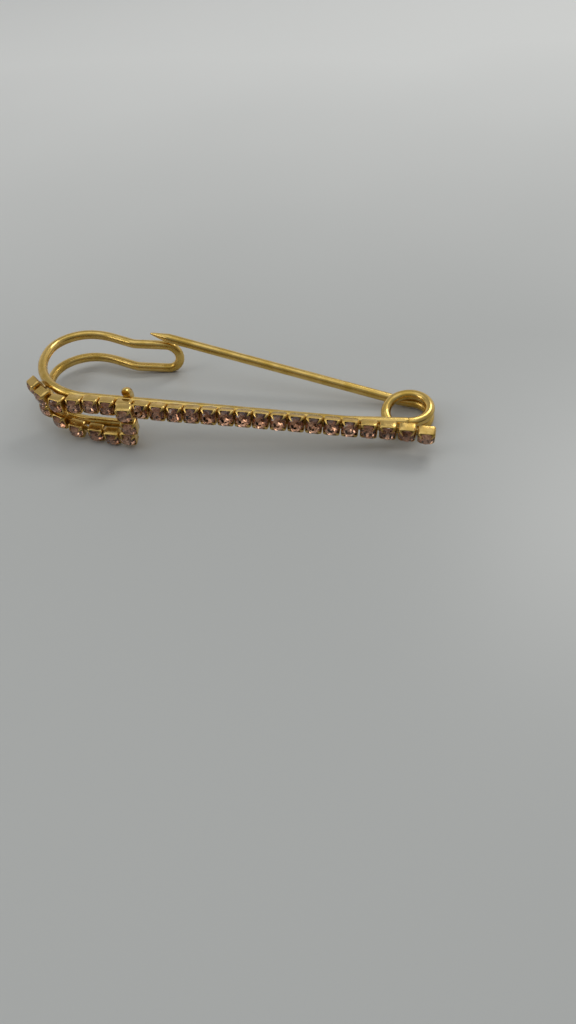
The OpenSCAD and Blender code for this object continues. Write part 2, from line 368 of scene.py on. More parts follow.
@dataclass(frozen=True)
class PlatingWear:
    """Wear of thin plating: cloudy patches where it is rubbed, small pits, and fine grain.

    Attributes:
        patches: how many patches there are in a metre, where a material doesn't say.
        grains: how many grains there are in a metre, where a material doesn't say.
        rubbed: the noise values at which the plating starts to be rubbed and is rubbed fully.
        pits_per_patch: how many pits there are along the length of one patch.
        pit: distances from a pit's middle at which it is full depth and at which it ends, in
            shares of the pits' spacing.
    """

    patches: float = 400.0
    grains: float = 6000.0
    rubbed: tuple[float, float] = (0.40, 0.66)
    pits_per_patch: float = 3.5
    pit: tuple[float, float] = (0.04, 0.16)

    def build(self) -> bpy.types.NodeTree:
        """Makes the group of nodes.

        The patches are a soft noise whose middle range is spread out, and the pits are the
        middles of the cells of a finer pattern.

        Returns:
            The group, with the inputs Vector, Patches and Grain, and the outputs Rubbed, Pits
            and Grain, each from 0 to 1.
        """
        tree = bpy.data.node_groups.new("plating_wear", "ShaderNodeTree")
        tree.interface.new_socket("Vector", in_out="INPUT", socket_type="NodeSocketVector")
        for label, value in (("Patches", self.patches), ("Grain", self.grains)):
            entry = tree.interface.new_socket(label, in_out="INPUT", socket_type="NodeSocketFloat")
            entry.default_value = value
        for label in ("Rubbed", "Pits", "Grain"):
            tree.interface.new_socket(label, in_out="OUTPUT", socket_type="NodeSocketFloat")
        nodes = Nodes(tree)
        given = nodes.add("NodeGroupInput").outputs
        cloud = nodes.noise(given["Vector"], given["Patches"], detail=4.0, roughness=0.6)
        pit_scale = nodes.maths("MULTIPLY", given["Patches"], self.pits_per_patch)
        cells = nodes.add("ShaderNodeTexVoronoi", {"Vector": given["Vector"], "Scale": pit_scale})
        results = {
            "Rubbed": nodes.spread(cloud, *self.rubbed),
            "Pits": nodes.spread(cells.outputs["Distance"], *self.pit, 1, 0),
            "Grain": nodes.noise(given["Vector"], given["Grain"], detail=2.0),
        }
        nodes.add("NodeGroupOutput", results)
        return tree


@dataclass(frozen=True)
class PlatedFinish:
    """Gold-coloured plating on brass.

    Attributes:
        name: the material's name.
        bright: colour of fresh plating.
        deep: colour where it is rubbed or has gone dull.
        painted_shade: the colour of painted shade, put deep in corners and pockets.
        solder: colour of the solder that was plated over.
        smooth: roughness of fresh plating.
        dull: roughness of rubbed plating.
        patches: how many patches of wear there are in a metre.
        relief: depth of the surface's unevenness, in metres.
        drawn: whether the drawing of the wire left lines along it.
        pit_colour: how much of the painted shade's colour a pit, a mark of wear, has.
        solder_colour: how much of the solder's colour shows through.
        solder_rough: roughness that solder adds.
        hollow_rough: roughness that the mask of painted shade adds.
        grain_height: share of the relief that is fine grain.
        rubbed_height: share that is rubbed patches.
        pit_depth: share that is pits.
        line_height: share that is drawn lines.
        line_scale: how many drawn lines there are in one unit of the attribute "along".
        line_range: the noise values at which a line starts to be rough and is rough fully.
        line_rough: roughness that a drawn line adds.
    """

    name: str
    bright: Colour
    deep: Colour
    painted_shade: Colour = (0.20, 0.10, 0.02)
    solder: Colour = (0.72, 0.63, 0.42)
    smooth: float = 0.15
    dull: float = 0.30
    patches: float = 420.0
    relief: float = 0.000007
    drawn: bool = False
    pit_colour: float = 0.5
    solder_colour: float = 0.75
    solder_rough: float = 0.18
    hollow_rough: float = 0.12
    grain_height: float = 0.25
    rubbed_height: float = 0.45
    pit_depth: float = 0.4
    line_height: float = 0.9
    line_scale: float = 9.0
    line_range: tuple[float, float] = (0.45, 0.7)
    line_rough: float = 0.10

    def build(self, wear: bpy.types.NodeTree) -> bpy.types.Material:
        """Makes the material.

        The piece's attribute of painted shade is 1 deep in a corner, where shade is painted, "solder" is 1
        on solder, and "along" turns slowly down the wire and quickly round it, so that noise on it makes
        lines.

        Args:
            wear: the group that gives the patches, pits and grain.

        Returns:
            The material.
        """
        material, nodes = new_material(self.name)
        inputs = {"Vector": nodes.object_coords(), "Patches": self.patches}
        marks = nodes.add("ShaderNodeGroup", inputs, node_tree=wear).outputs
        rubbed, pits, grain = (marks[label] for label in ("Rubbed", "Pits", "Grain"))
        # painted shade: the mask of corners and pockets into which shade is painted
        solder, painted_shade = nodes.attribute("solder"), nodes.attribute("painted_shade")

        colour = nodes.mix(rubbed, self.bright, self.deep)
        # pits are marks of wear, darkened with a share of the painted shade's colour
        colour = nodes.mix(nodes.maths("MULTIPLY", pits, self.pit_colour), colour, self.painted_shade)
        colour = nodes.mix(nodes.maths("MULTIPLY", solder, self.solder_colour), colour, self.solder)
        # painted shade: darkens the colour deep in corners and pockets
        colour = nodes.mix(painted_shade, colour, self.painted_shade)
        rough = nodes.spread(rubbed, 0, 1, self.smooth, self.dull)
        rough = nodes.plus(rough, solder, self.solder_rough)
        rough = nodes.plus(rough, painted_shade, self.hollow_rough)
        height = nodes.maths("MULTIPLY", grain, self.grain_height)
        height = nodes.plus(height, rubbed, self.rubbed_height)
        height = nodes.plus(height, pits, -self.pit_depth)
        if self.drawn:
            lines = nodes.noise(nodes.attribute("along", "Vector"), self.line_scale, detail=3.0)
            height = nodes.plus(height, lines, self.line_height)
            rough = nodes.maths("ADD", rough, nodes.spread(lines, *self.line_range, 0, self.line_rough))
        bump = nodes.add("ShaderNodeBump", {"Height": height, "Strength": 1.0, "Distance": self.relief})
        normal = bump.outputs["Normal"]
        nodes.shade({"Base Color": colour, "Roughness": rough, "Normal": normal, "Metallic": 1.0})
        return material


@dataclass(frozen=True)
class GlassFinish:
    """The clear crown of a cut stone, tinted a brownish rose.

    Attributes:
        name: the material's name.
        pale: the lightest stone's colour.
        strong: the darkest stone's colour.
        index: the glass's index of refraction.
        smears: how many smears there are in a metre.
        smear_range: the noise values at which a smear starts and is at its fullest.
        smear_rough: roughness of a smear.
    """

    name: str = "rose_glass"
    pale: Colour = (0.82, 0.60, 0.46)
    strong: Colour = (0.60, 0.38, 0.26)
    index: float = 1.56
    smears: float = 900.0
    smear_range: tuple[float, float] = (0.5, 0.8)
    smear_rough: float = 0.10

    def build(self) -> bpy.types.Material:
        """Makes the material, whose stones differ a little by the attribute "tone"."""
        material, nodes = new_material(self.name)
        smear = nodes.noise(nodes.object_coords(), self.smears, detail=3.0)
        nodes.shade({
            "Base Color": nodes.mix(nodes.attribute("tone"), self.pale, self.strong),
            "Roughness": nodes.spread(smear, *self.smear_range, 0, self.smear_rough),
            "Metallic": 0.0,
            "Transmission Weight": 1.0,
            "IOR": self.index,
        })
        return material


@dataclass(frozen=True)
class FoilFinish:
    """The mirror foil on the back of a stone.

    Attributes:
        name: the material's name.
        light: the foil's colour.
        dark: its colour where it is creased or has gone dull.
        smooth: roughness of the bright foil.
        dull: roughness of the dull foil.
        patches: how many dull patches there are in a metre.
        dull_range: the noise values at which a patch starts and is fully dull.
    """

    name: str = "foil_back"
    light: Colour = (0.88, 0.69, 0.58)
    dark: Colour = (0.36, 0.22, 0.15)
    smooth: float = 0.05
    dull: float = 0.22
    patches: float = 1500.0
    dull_range: tuple[float, float] = (0.45, 0.7)

    def build(self) -> bpy.types.Material:
        """Makes the material, dull in small patches."""
        material, nodes = new_material(self.name)
        cloud = nodes.noise(nodes.object_coords(), self.patches, detail=3.0)
        dulled = nodes.spread(cloud, *self.dull_range)
        nodes.shade({
            "Base Color": nodes.mix(dulled, self.light, self.dark),
            "Roughness": nodes.spread(dulled, 0, 1, self.smooth, self.dull),
            "Metallic": 1.0,
        })
        return material


@dataclass
class Finishes:
    """Every material of the pin, made once."""

    wire: bpy.types.Material
    setting: bpy.types.Material
    glass: bpy.types.Material
    foil: bpy.types.Material

    @classmethod
    def build(cls) -> "Finishes":
        """Makes the materials, with one group of wear that both platings share."""
        wear = PlatingWear().build()
        wire = PlatedFinish(
            "gilded_wire",
            bright=(0.76, 0.52, 0.165),
            deep=(0.58, 0.375, 0.08),
            drawn=True,
        )
        setting = PlatedFinish(
            "gilded_setting",
            bright=(0.74, 0.50, 0.165),
            deep=(0.56, 0.36, 0.09),
            smooth=0.20,
            dull=0.36,
            patches=700.0,
        )
        return cls(wire.build(wear), setting.build(wear), GlassFinish().build(), FoilFinish().build())


# The wire


@dataclass(frozen=True)
class WireRow:
    """One stretch of a bent wire.

    Attributes:
        run: straight length.
        turn: turn of the wire about its own line before the run, in degrees.
        bend: angle of the bend after the run, in degrees.
        radius: radius of that bend.
    """

    run: float
    turn: float
    bend: float
    radius: float


@dataclass
class WirePath:
    """Points along a wire's middle, with the two directions across it.

    Attributes:
        points: places in the flat pin.
        side: the direction across the wire from which its angle is counted.
        other: the direction a quarter turn on from side.
        length: how far along the wire each point is.
    """

    points: np.ndarray
    side: np.ndarray
    other: np.ndarray
    length: np.ndarray

    @classmethod
    def bent(cls, rows: list[WireRow], place: np.ndarray, axes: np.ndarray, step: float) -> "WirePath":
        """Follows a table of runs and bends.

        Each row goes straight along its own Z, and then along an arc towards its own X: the
        arc's point at angle a is radius (1 - cos a) along X and radius sin a along Z. The
        directions across the wire are carried on without the rows' turns, so it isn't twisted.

        Args:
            rows: the runs and bends.
            place: where the wire starts.
            axes: its own X, Y and Z there, as columns.
            step: the longest distance between two points.

        Returns:
            The path, with no point twice.
        """
        points, sides, others = [place[None]], [axes[:, 0][None]], [axes[:, 1][None]]
        turn_so_far = 0.0
        for row in rows:
            axes = axes @ about_z(row.turn)
            turn_so_far += row.turn
            unturn = about_z(-turn_so_far)
            if row.run > 0:
                along = np.linspace(0, row.run, max(2, math.ceil(row.run / step) + 1))[1:]
                points.append(place + along[:, None] * axes[:, 2])
                across = np.broadcast_to(axes @ unturn, (len(along), 3, 3))
                sides.append(across[:, :, 0])
                others.append(across[:, :, 1])
                place = points[-1][-1]
            if row.bend > 0:
                arc = math.radians(row.bend)
                a = np.linspace(0, arc, max(4, math.ceil(arc * row.radius / step) + 1))[1:]
                x, z = row.radius * (1 - np.cos(a)), row.radius * np.sin(a)
                points.append(place + x[:, None] * axes[:, 0] + z[:, None] * axes[:, 2])
                own_x = np.cos(a)[:, None] * axes[:, 0] - np.sin(a)[:, None] * axes[:, 2]
                own_y = np.broadcast_to(axes[:, 1], own_x.shape)
                across = np.stack([own_x, own_y], -1) @ unturn[:2, :2]
                sides.append(across[:, :, 0])
                others.append(across[:, :, 1])
                place = points[-1][-1]
                own_z = math.sin(arc) * axes[:, 0] + math.cos(arc) * axes[:, 2]
                axes = np.stack([own_x[-1], axes[:, 1], own_z], -1)
        line = np.concatenate(points)
        length = np.concatenate([[0], np.cumsum(np.linalg.norm(np.diff(line, axis=0), axis=1))])
        return cls(line, np.concatenate(sides), np.concatenate(others), length)

    def resampled(self, lengths: np.ndarray) -> "WirePath":
        """The same path with points at other lengths, each on the line between its neighbours.

        Args:
            lengths: how far along the wire the new points are.

        Returns:
            The new path.
        """

        def at(values: np.ndarray) -> np.ndarray:
            """Values along the path, at the new lengths."""
            return np.stack([np.interp(lengths, self.length, values[:, k]) for k in range(3)], -1)

        return WirePath(at(self.points), unit(at(self.side)), unit(at(self.other)), lengths)


@dataclass
class WireTube:
    """A round wire along a path.

    Attributes:
        path: the middle of the wire.
        radius: the wire's radius at each point of the path.
        columns: how many points there are round it.
        sway: how much the wire sways to one side, as a share of its radius.
        sway_rate: how fast the sway goes along the wire, in radians a millimetre.
        oval: how far the wire is out of round, as a share of its radius.
        oval_rate: how fast the oval turns along the wire, in radians a millimetre.
        line_rate: how fast the drawn lines change along the wire, against round it.
        sharp: the angle in degrees past which an edge stays crisp.
    """

    path: WirePath
    radius: np.ndarray
    columns: int = 36
    sway: float = 0.004
    sway_rate: float = 1.9
    oval: float = 0.003
    oval_rate: float = 0.8
    line_rate: float = 0.02
    sharp: float = 50.0

    def hand_made(self) -> np.ndarray:
        """How uneven the wire is: a few slow waves along it, which differ round it.

        The radius is multiplied by 1 + sway sin(sway_rate s) cos a + oval sin(oval_rate s + 2a)
        - oval, where s is the length along the wire in millimetres and a the angle round it.

        Returns:
            The factor at each point of the grid.
        """
        s = self.path.length[:, None]
        a = round_angles(self.columns)[None]
        swaying = self.sway * np.sin(self.sway_rate * s) * np.cos(a)
        return 1 + swaying + self.oval * np.sin(self.oval_rate * s + 2 * a) - self.oval

    def grid(self) -> np.ndarray:
        """The surface: middle + radius (cos a side + sin a other) at each length and angle a."""
        a = round_angles(self.columns)[None, :, None]
        way = np.cos(a) * self.path.side[:, None] + np.sin(a) * self.path.other[:, None]
        reach = self.radius[:, None] * self.hand_made()
        return self.path.points[:, None] + reach[..., None] * way

    def piece(self, name: str, place: "PinPlace") -> bpy.types.Object:
        """Makes the wire's mesh, closed at both ends.

        Args:
            name: the piece's name.
            place: where the flat pin goes.

        Returns:
            The piece, with the attribute "along" for the lines on the wire.
        """
        points, faces = closed_shells(self.path.points[0], self.grid()[None], self.path.points[-1])
        piece = make_piece(name, place.points(points), faces, sharp=self.sharp)
        a = np.tile(round_angles(self.columns), len(self.path.length))
        s = np.repeat(self.path.length, self.columns)
        along = np.stack([self.line_rate * s, np.cos(a), np.sin(a)], -1)
        add_attribute(piece, "along", np.concatenate([along[:1], along, along[-1:]]))
        return piece


@dataclass
class Wire:
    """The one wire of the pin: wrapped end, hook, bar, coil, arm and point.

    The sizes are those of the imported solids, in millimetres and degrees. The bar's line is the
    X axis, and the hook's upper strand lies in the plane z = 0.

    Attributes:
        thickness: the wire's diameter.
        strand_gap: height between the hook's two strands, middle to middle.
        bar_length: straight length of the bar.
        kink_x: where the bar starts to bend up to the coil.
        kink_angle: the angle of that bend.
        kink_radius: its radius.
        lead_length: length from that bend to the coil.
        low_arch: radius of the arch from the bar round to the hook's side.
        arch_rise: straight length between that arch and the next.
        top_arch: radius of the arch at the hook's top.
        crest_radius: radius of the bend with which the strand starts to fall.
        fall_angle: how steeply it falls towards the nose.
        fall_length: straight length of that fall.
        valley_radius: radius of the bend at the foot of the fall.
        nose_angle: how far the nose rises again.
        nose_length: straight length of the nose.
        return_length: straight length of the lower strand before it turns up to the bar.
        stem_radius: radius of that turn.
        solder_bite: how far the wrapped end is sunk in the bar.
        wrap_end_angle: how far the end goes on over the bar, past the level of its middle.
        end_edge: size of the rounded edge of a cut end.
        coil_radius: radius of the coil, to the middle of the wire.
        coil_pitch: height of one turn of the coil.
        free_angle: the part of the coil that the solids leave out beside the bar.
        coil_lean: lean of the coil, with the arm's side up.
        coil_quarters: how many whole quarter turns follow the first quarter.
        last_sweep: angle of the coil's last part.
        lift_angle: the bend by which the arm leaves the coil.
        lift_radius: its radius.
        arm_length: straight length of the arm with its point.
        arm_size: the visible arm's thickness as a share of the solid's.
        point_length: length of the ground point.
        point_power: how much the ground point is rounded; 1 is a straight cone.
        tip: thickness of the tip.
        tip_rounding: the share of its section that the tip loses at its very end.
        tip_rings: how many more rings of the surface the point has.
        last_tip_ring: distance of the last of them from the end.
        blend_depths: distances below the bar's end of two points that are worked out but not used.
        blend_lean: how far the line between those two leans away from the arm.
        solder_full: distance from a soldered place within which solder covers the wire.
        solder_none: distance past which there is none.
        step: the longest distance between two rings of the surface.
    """

    thickness: float = 1.45
    strand_gap: float = 4.35
    bar_length: float = 37.7
    kink_x: float = 28.0
    kink_angle: float = 6.0
    kink_radius: float = 20.0
    lead_length: float = 7.9
    low_arch: float = 10.5
    arch_rise: float = 0.4
    top_arch: float = 6.0
    crest_radius: float = 10.0
    fall_angle: float = 18.0
    fall_length: float = 3.5
    valley_radius: float = 3.0
    nose_angle: float = 4.0
    nose_length: float = 4.6
    return_length: float = 4.45
    stem_radius: float = 1.6
    solder_bite: float = 0.1
    wrap_end_angle: float = 88.0
    end_edge: float = 0.12
    coil_radius: float = 3.2
    coil_pitch: float = 1.66
    free_angle: float = 11.8
    coil_lean: float = 9.0
    coil_quarters: int = 4
    last_sweep: float = 71.87
    lift_angle: float = 11.11
    lift_radius: float = 16.0
    arm_length: float = 40.41
    arm_size: float = 0.9995
    point_length: float = 3.2
    point_power: float = 0.85
    tip: float = 0.24
    tip_rounding: float = 0.85
    tip_rings: int = 16
    last_tip_ring: float = 0.01
    blend_depths: tuple[float, float] = (0.72, 1.72)
    blend_lean: float = 0.15
    solder_full: float = 0.35
    solder_none: float = 0.95
    step: float = 0.3

    @property
    def arch_x(self) -> float:
        """Where the bar ends and the hook's arch starts."""
        return self.kink_x - self.bar_length

    @property
    def bar_end(self) -> np.ndarray:
        """Where the bar meets the coil."""
        a = math.radians(self.kink_angle)
        kink = np.array([math.sin(a), 1 - math.cos(a), 0]) * self.kink_radius
        return kink + [self.kink_x, 0, 0] + self.lead_length * np.array([math.cos(a), math.sin(a), 0])

    @property
    def coil_frame(self) -> np.ndarray:
        """The coil's axes: to its middle, up along its own line, and on from the bar."""
        return self.start(True) @ about_z(self.coil_lean)

    @property
    def coil_centre(self) -> np.ndarray:
        """The middle of the coil where the bar meets it."""
        return self.bar_end + self.coil_radius * self.coil_frame[:, 0]

    @property
    def arm_line(self) -> np.ndarray:
        """The way that the arm points, from the coil to its tip."""
        points = self.arm_path().points
        return unit(points[-1] - points[-2])

    def start(self, forward: bool) -> np.ndarray:
        """The wire's own axes where the bar meets the coil.

        Args:
            forward: whether the wire goes on round the coil, and not back along the bar.

        Returns:
            Its X, which points to the coil's middle, its Y and its Z, as columns.
        """
        a = math.radians(self.kink_angle)
        own_x = np.array([-math.sin(a), math.cos(a), 0])
        own_z = np.array([math.cos(a), math.sin(a), 0]) * (1 if forward else -1)
        return np.stack([own_x, np.cross(own_z, own_x), own_z], -1)

    def frame_path(self) -> WirePath:
        """The middle of the still part, from the coil along the bar and the hook to the cut end.

        The end is wrapped round the bar. The lower strand turns up on a line that touches the
        circle of the wrap, so the length of the stem and the angle at which it touches follow
        from the gap between the strands and the radius of the wrap.

        Returns:
            The path.
        """
        wrap_radius = self.thickness - self.solder_bite
        touch = math.degrees(math.asin(wrap_radius / self.strand_gap))
        stem = math.sqrt(self.strand_gap**2 - wrap_radius**2) - self.stem_radius
        valley = self.fall_angle + self.nose_angle
        rows = [
            WireRow(self.lead_length, 0, self.kink_angle, self.kink_radius),
            WireRow(self.bar_length, 0, 90, self.low_arch),
            WireRow(self.arch_rise, 0, 90, self.top_arch),
            WireRow(0, 0, self.fall_angle, self.crest_radius),
            WireRow(self.fall_length, 180, valley, self.valley_radius),
            WireRow(self.nose_length, -90, 180, self.strand_gap / 2),
            WireRow(self.nose_length, 90, valley, self.valley_radius),
            WireRow(self.fall_length, 180, self.fall_angle, self.crest_radius),
            WireRow(0, 0, 90, self.top_arch),
            WireRow(self.arch_rise, 0, 90, self.low_arch),
            WireRow(self.return_length, 90 - touch, 90, self.stem_radius),
            WireRow(stem, 90, touch + self.wrap_end_angle, wrap_radius),
        ]
        return WirePath.bent(rows, self.bar_end, self.start(False), self.step)

    def arm_path(self) -> WirePath:
        """The middle of the moving part, from the bar round the coil and over the lift to the tip.

        The wire is turned a little before each quarter of the coil, by which the coil goes
        down along its own line.

        Returns:
            The path.
        """
        dip = math.degrees(math.asin(self.coil_pitch / 8 / self.coil_radius))
        quarters = [WireRow(0, -2 * dip, 90, self.coil_radius)] * self.coil_quarters
        rows = [
            WireRow(0, self.coil_lean, self.free_angle, self.coil_radius),
            WireRow(0, -dip, 90 - self.free_angle, self.coil_radius),
            *quarters,
            WireRow(0, -2 * dip, self.last_sweep, self.coil_radius),
            WireRow(0, 90, self.lift_angle, self.lift_radius),
            WireRow(self.arm_length, 0, 0, 0),
        ]
        return WirePath.bent(rows, self.bar_end, self.start(True), self.step)

    def frame_radius(self, length: np.ndarray) -> np.ndarray:
        """The radius of the still part, whose cut ends have a small rounded edge.

        Within end_edge of an end, the radius follows a quarter circle of that size.

        Args:
            length: how far along the wire each point is.

        Returns:
            The radius at each point.
        """
        near = np.minimum(length, length[-1] - length)
        inside = np.clip(1 - near / self.end_edge, 0, 1)
        return self.thickness / 2 - self.end_edge * (1 - np.sqrt(1 - inside**2))

    def arm_radius(self, length: np.ndarray) -> np.ndarray:
        """The radius along the coil and the arm.

        It is the wire's own, and over the ground point it falls to the tip's as point_power of
        the share of the point that is left. It is then multiplied by the square root of
        1 - tip_rounding (1 - u)^2, where u goes from 1 to 0 over the last half thickness.

        Args:
            length: how far along the wire each point is.

        Returns:
            The radius at each point.
        """
        left = np.clip((length[-1] - length) / self.point_length, 0, 1)
        cone = self.tip / 2 + (self.thickness - self.tip) / 2 * left**self.point_power
        last = np.clip((length[-1] - length) / (self.tip / 2), 0, 1)
        return cone * np.sqrt(1 - (1 - last) ** 2 * self.tip_rounding)

    def solder_share(self, piece: bpy.types.Object, place: "PinPlace", spots: np.ndarray) -> np.ndarray:
        """How much solder has run over each point of the wire.

        Args:
            piece: the wire's piece.
            place: where the flat pin goes.
            spots: places in the flat pin at which something is soldered on.

        Returns:
            One number a point: 1 within solder_full of a spot, falling to 0 at solder_none.
        """
        points = np.empty(len(piece.data.vertices) * 3, np.float32)
        piece.data.vertices.foreach_get("co", points)
        ways = points.reshape(-1, 1, 3) - place.points(spots)[None]
        apart = np.linalg.norm(ways, axis=2).min(1) / MM
        return np.clip((self.solder_none - apart) / (self.solder_none - self.solder_full), 0, 1)

    def build_bar_and_hook(
        self, place: "PinPlace", solder_spots: np.ndarray, finish: bpy.types.Material
    ) -> bpy.types.Object:
        """Makes the still part of the wire.

        Args:
            place: where the flat pin goes.
            solder_spots: places in the flat pin at which something is soldered to the wire.
            finish: the wire's material.

        Returns:
            The piece.
        """
        path = self.frame_path()
        piece = WireTube(path, self.frame_radius(path.length)).piece("wire_bar_and_hook", place)
        add_attribute(piece, "solder", self.solder_share(piece, place, solder_spots))
        finish_piece(piece, [finish], "wire_frame")
        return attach(piece, Body.FRAME.value)

    def build_coil_and_arm(self, place: "PinPlace", finish: bpy.types.Material) -> bpy.types.Object:
        """Makes the moving part of the wire.

        It works out two points on a line below the bar's end that leans away from the arm, and
        doesn't use them.

        Args:
            place: where the flat pin goes.
            finish: the wire's material.

        Returns:
            The piece.
        """
        path = self.arm_path()
        from_end = np.geomspace(self.point_length, self.last_tip_ring, self.tip_rings)
        path = path.resampled(np.union1d(path.length, path.length[-1] - from_end))
        tube = WireTube(path, self.arm_radius(path.length) * self.arm_size)
        piece = tube.piece("wire_coil_and_arm", place)
        finish_piece(piece, [finish], "spring_arm")
        down = unit(np.array([-self.blend_lean, 0, 0]) - self.coil_frame[:, 1])
        first, last = place.points(self.coil_centre + down * np.array(self.blend_depths)[:, None])
        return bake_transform(piece)


@dataclass(frozen=True)
class PinPlace:
    """How the flat pin lies on its feet.

    Attributes:
        turn: the rotation from the flat pin to the row frame.
        shift: the row frame's place of the flat pin's origin, in metres.
    """

    turn: np.ndarray
    shift: np.ndarray

    @classmethod
    def from_record(cls, hinge: dict, mount: dict, wire: Wire) -> "PinPlace":
        """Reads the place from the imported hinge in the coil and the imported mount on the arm.

        Both lines are known in the flat pin too. The turn takes the coil's line to the hinge's,
        and the plane of both lines to its own.

        Args:
            hinge: the joint of the frame's record.
            mount: the mount on the arm.
            wire: the wire, worked out flat.

        Returns:
            The place of the flat pin.
        """
        flat = cls.axes_of(wire.coil_frame[:, 1], wire.arm_line)
        lying = cls.axes_of(-np.array(hinge["axis"], float), np.array(mount["axis"], float))
        turn = lying @ flat.T
        return cls(turn, np.array(hinge["pos_m"], float) - turn @ wire.coil_centre * MM)

    @staticmethod
    def axes_of(first: np.ndarray, second: np.ndarray) -> np.ndarray:
        """Three axes as columns: the first line, square to both lines, and square to those two."""
        first = unit(first)
        side = unit(np.cross(first, second))
        return np.stack([first, side, np.cross(first, side)], -1)

    def points(self, flat: np.ndarray) -> np.ndarray:
        """Points of the flat pin in millimetres, as points of the row frame in metres."""
        return flat @ self.turn.T * MM + self.shift


# The chain of stones


@dataclass
class Seats:
    """Where the settings of a chain stand in the flat pin.

    Attributes:
        middles: the middle of each setting at its stone.
        turns: a rotation each, from the setting's own axes to the flat pin's.
    """

    middles: np.ndarray
    turns: np.ndarray

    @classmethod
    def from_rows(cls, rows: list[SeatRow]) -> "Seats":
        """Reads a table of settings.

        Args:
            rows: for each setting x, y and z, the tilt of its face downwards, the turn of its
                face about Z, and the turn of its square about the way that the stone looks.

        Returns:
            The seats.
        """
        table = np.array(rows)
        turns = about_z(table[:, 4]) @ about_x(table[:, 3] + 90) @ about_z(table[:, 5])
        return cls(table[:, :3], turns)

    @property
    def looks(self) -> np.ndarray:
        """The way that each stone looks."""
        return self.turns[:, :, 2]

    def joined(self, others: "Seats") -> "Seats":
        """These seats and then the others."""
        middles = np.concatenate([self.middles, others.middles])
        return Seats(middles, np.concatenate([self.turns, others.turns]))

    def picked(self, which: np.ndarray) -> "Seats":
        """The seats for which the mask is true."""
        return Seats(self.middles[which], self.turns[which])

    def put(self, shapes: np.ndarray) -> np.ndarray:
        """Points of each setting in its own axes, settings by points by three, put in the flat pin."""
        return turned(self.turns, shapes) + self.middles[:, None]


@dataclass(frozen=True)
class Roll:
    """How the chain has rolled round the bar at one place.

    Attributes:
        place: where along the bar.
        down: how far the faces look down, in degrees, or up where it is negative.
        low: how far the chain lies below the bar's middle.
    """

    place: float
    down: float
    low: float


@dataclass
class ChainLayout:
    """How the chain runs: from its free tail along the bar, and a short second row.

    Attributes:
        wire: the wire that carries it.
        pitch: distance between settings on the bar.
        first_x: where the first setting on the bar stands.
        stretch: extra distance between the last settings.
        stretch_from: the setting after which they stand further apart.
        seat: distance from the middle of the wire to the middle of a setting.
        straight: how many settings the bar has.
        bow_rate: how far the chain stands out one millimetre past the bar's bend.
        rolls: how the chain rolls round the bar, between these places evenly.
        tail: the free tail's settings, as Seats.from_rows reads them.
        crossing: the second row's settings that cross the first row, turn and run back.
        beside_arch: the second row's last settings, as arch_row reads them.
    """

    wire: Wire
    pitch: float = 2.56
    first_x: float = -8.6
    stretch: float = 0.12
    stretch_from: int = 15
    seat: float = 2.525
    straight: int = 20
    bow_rate: float = 0.0025
    rolls: tuple[Roll, ...] = (
        Roll(-9, 0, 0),
        Roll(3, -8, 0.42),
        Roll(7, -16, 0.5),
        Roll(14, -22.5, 0.55),
        Roll(25, -19.5, 0.42),
        Roll(30, -15.5, 0.3),
        Roll(32.5, 0, -0.2),
        Roll(40.6, 22, -1.4),
    )
    tail: tuple[SeatRow, ...] = (
        (-18.97, 0.96, -0.30, 26, -47, 0),
        (-16.94, -1.08, -0.50, 18, -36, 0),
        (-14.14, -2.43, -0.50, 4, -16, 0),
        (-11.23, -2.53, -0.22, -2, -3, 0),
    )
    crossing: tuple[SeatRow, ...] = (
        (-2.35, -5.15, 0.92, 10, 4, 3),
        (-2.15, -4.78, -1.70, 12, 4, 1),
        (-2.85, -4.15, -4.26, 15, 2, -1),
        (-5.60, -3.60, -4.90, 18, 0, 0),
        (-8.40, -3.05, -4.95, 14, -2, 0),
    )
    beside_arch: tuple[tuple[float, ...], ...] = (
        (8.7, -4.85, 12, -5, 0.25),
        (21.8, -4.05, 10, 0, 0.12),
        (34.8, -3.05, 8, 0, 0.12),
    )

    def bar_row(self, number: int) -> SeatRow:
        """One setting on the bar.

        Its middle is at seat from the wire, on a line that looks down as the chain's roll says,
        and it is then moved along its own face by how low the chain lies there. Past the bar's
        bend it stands out by bow_rate times the square of the distance.

        Args:
            number: the setting's number from the hook's side.

        Returns:
            The row of the table of settings.
        """
        x = self.first_x + number * self.pitch + self.stretch * max(0, number - self.stretch_from)
        places = [roll.place for roll in self.rolls]
        down = math.radians(np.interp(x, places, [roll.down for roll in self.rolls]))
        low = np.interp(x, places, [roll.low for roll in self.rolls])
        bow = self.bow_rate * max(0.0, x - self.wire.kink_x) ** 2
        y = -bow - self.seat * math.cos(down) + low * math.sin(down)
        z = -self.seat * math.sin(down) - low * math.cos(down)
        return x, y, z, math.degrees(down), 0, 0

    def arch_row(self, along: float, z: float, down: float, square: float, off: float) -> SeatRow:
        """One setting of the second row, beside the arch.

        Args:
            along: angle along the arch from the bar, in degrees.
            z: height of its middle.
            down: how far its stone looks down.
            square: turn of its square.
            off: extra distance from the wire.

        Returns:
            The row of the table of settings.
        """
        a = math.radians(along)
        reach = self.wire.low_arch + self.seat + off
        x = self.wire.arch_x - reach * math.sin(a)
        y = self.wire.low_arch - reach * math.cos(a)
        return x, y, z, down, -along, square

    def bar_seats(self) -> Seats:
        """The long row, from the tail on the hook to the coil."""
        return Seats.from_rows([*self.tail, *(self.bar_row(number) for number in range(self.straight))])

    def ring_seats(self) -> Seats:
        """The short second row, which comes down in front of the first and runs back to the hook."""
        return Seats.from_rows([*self.crossing, *(self.arch_row(*row) for row in self.beside_arch)])


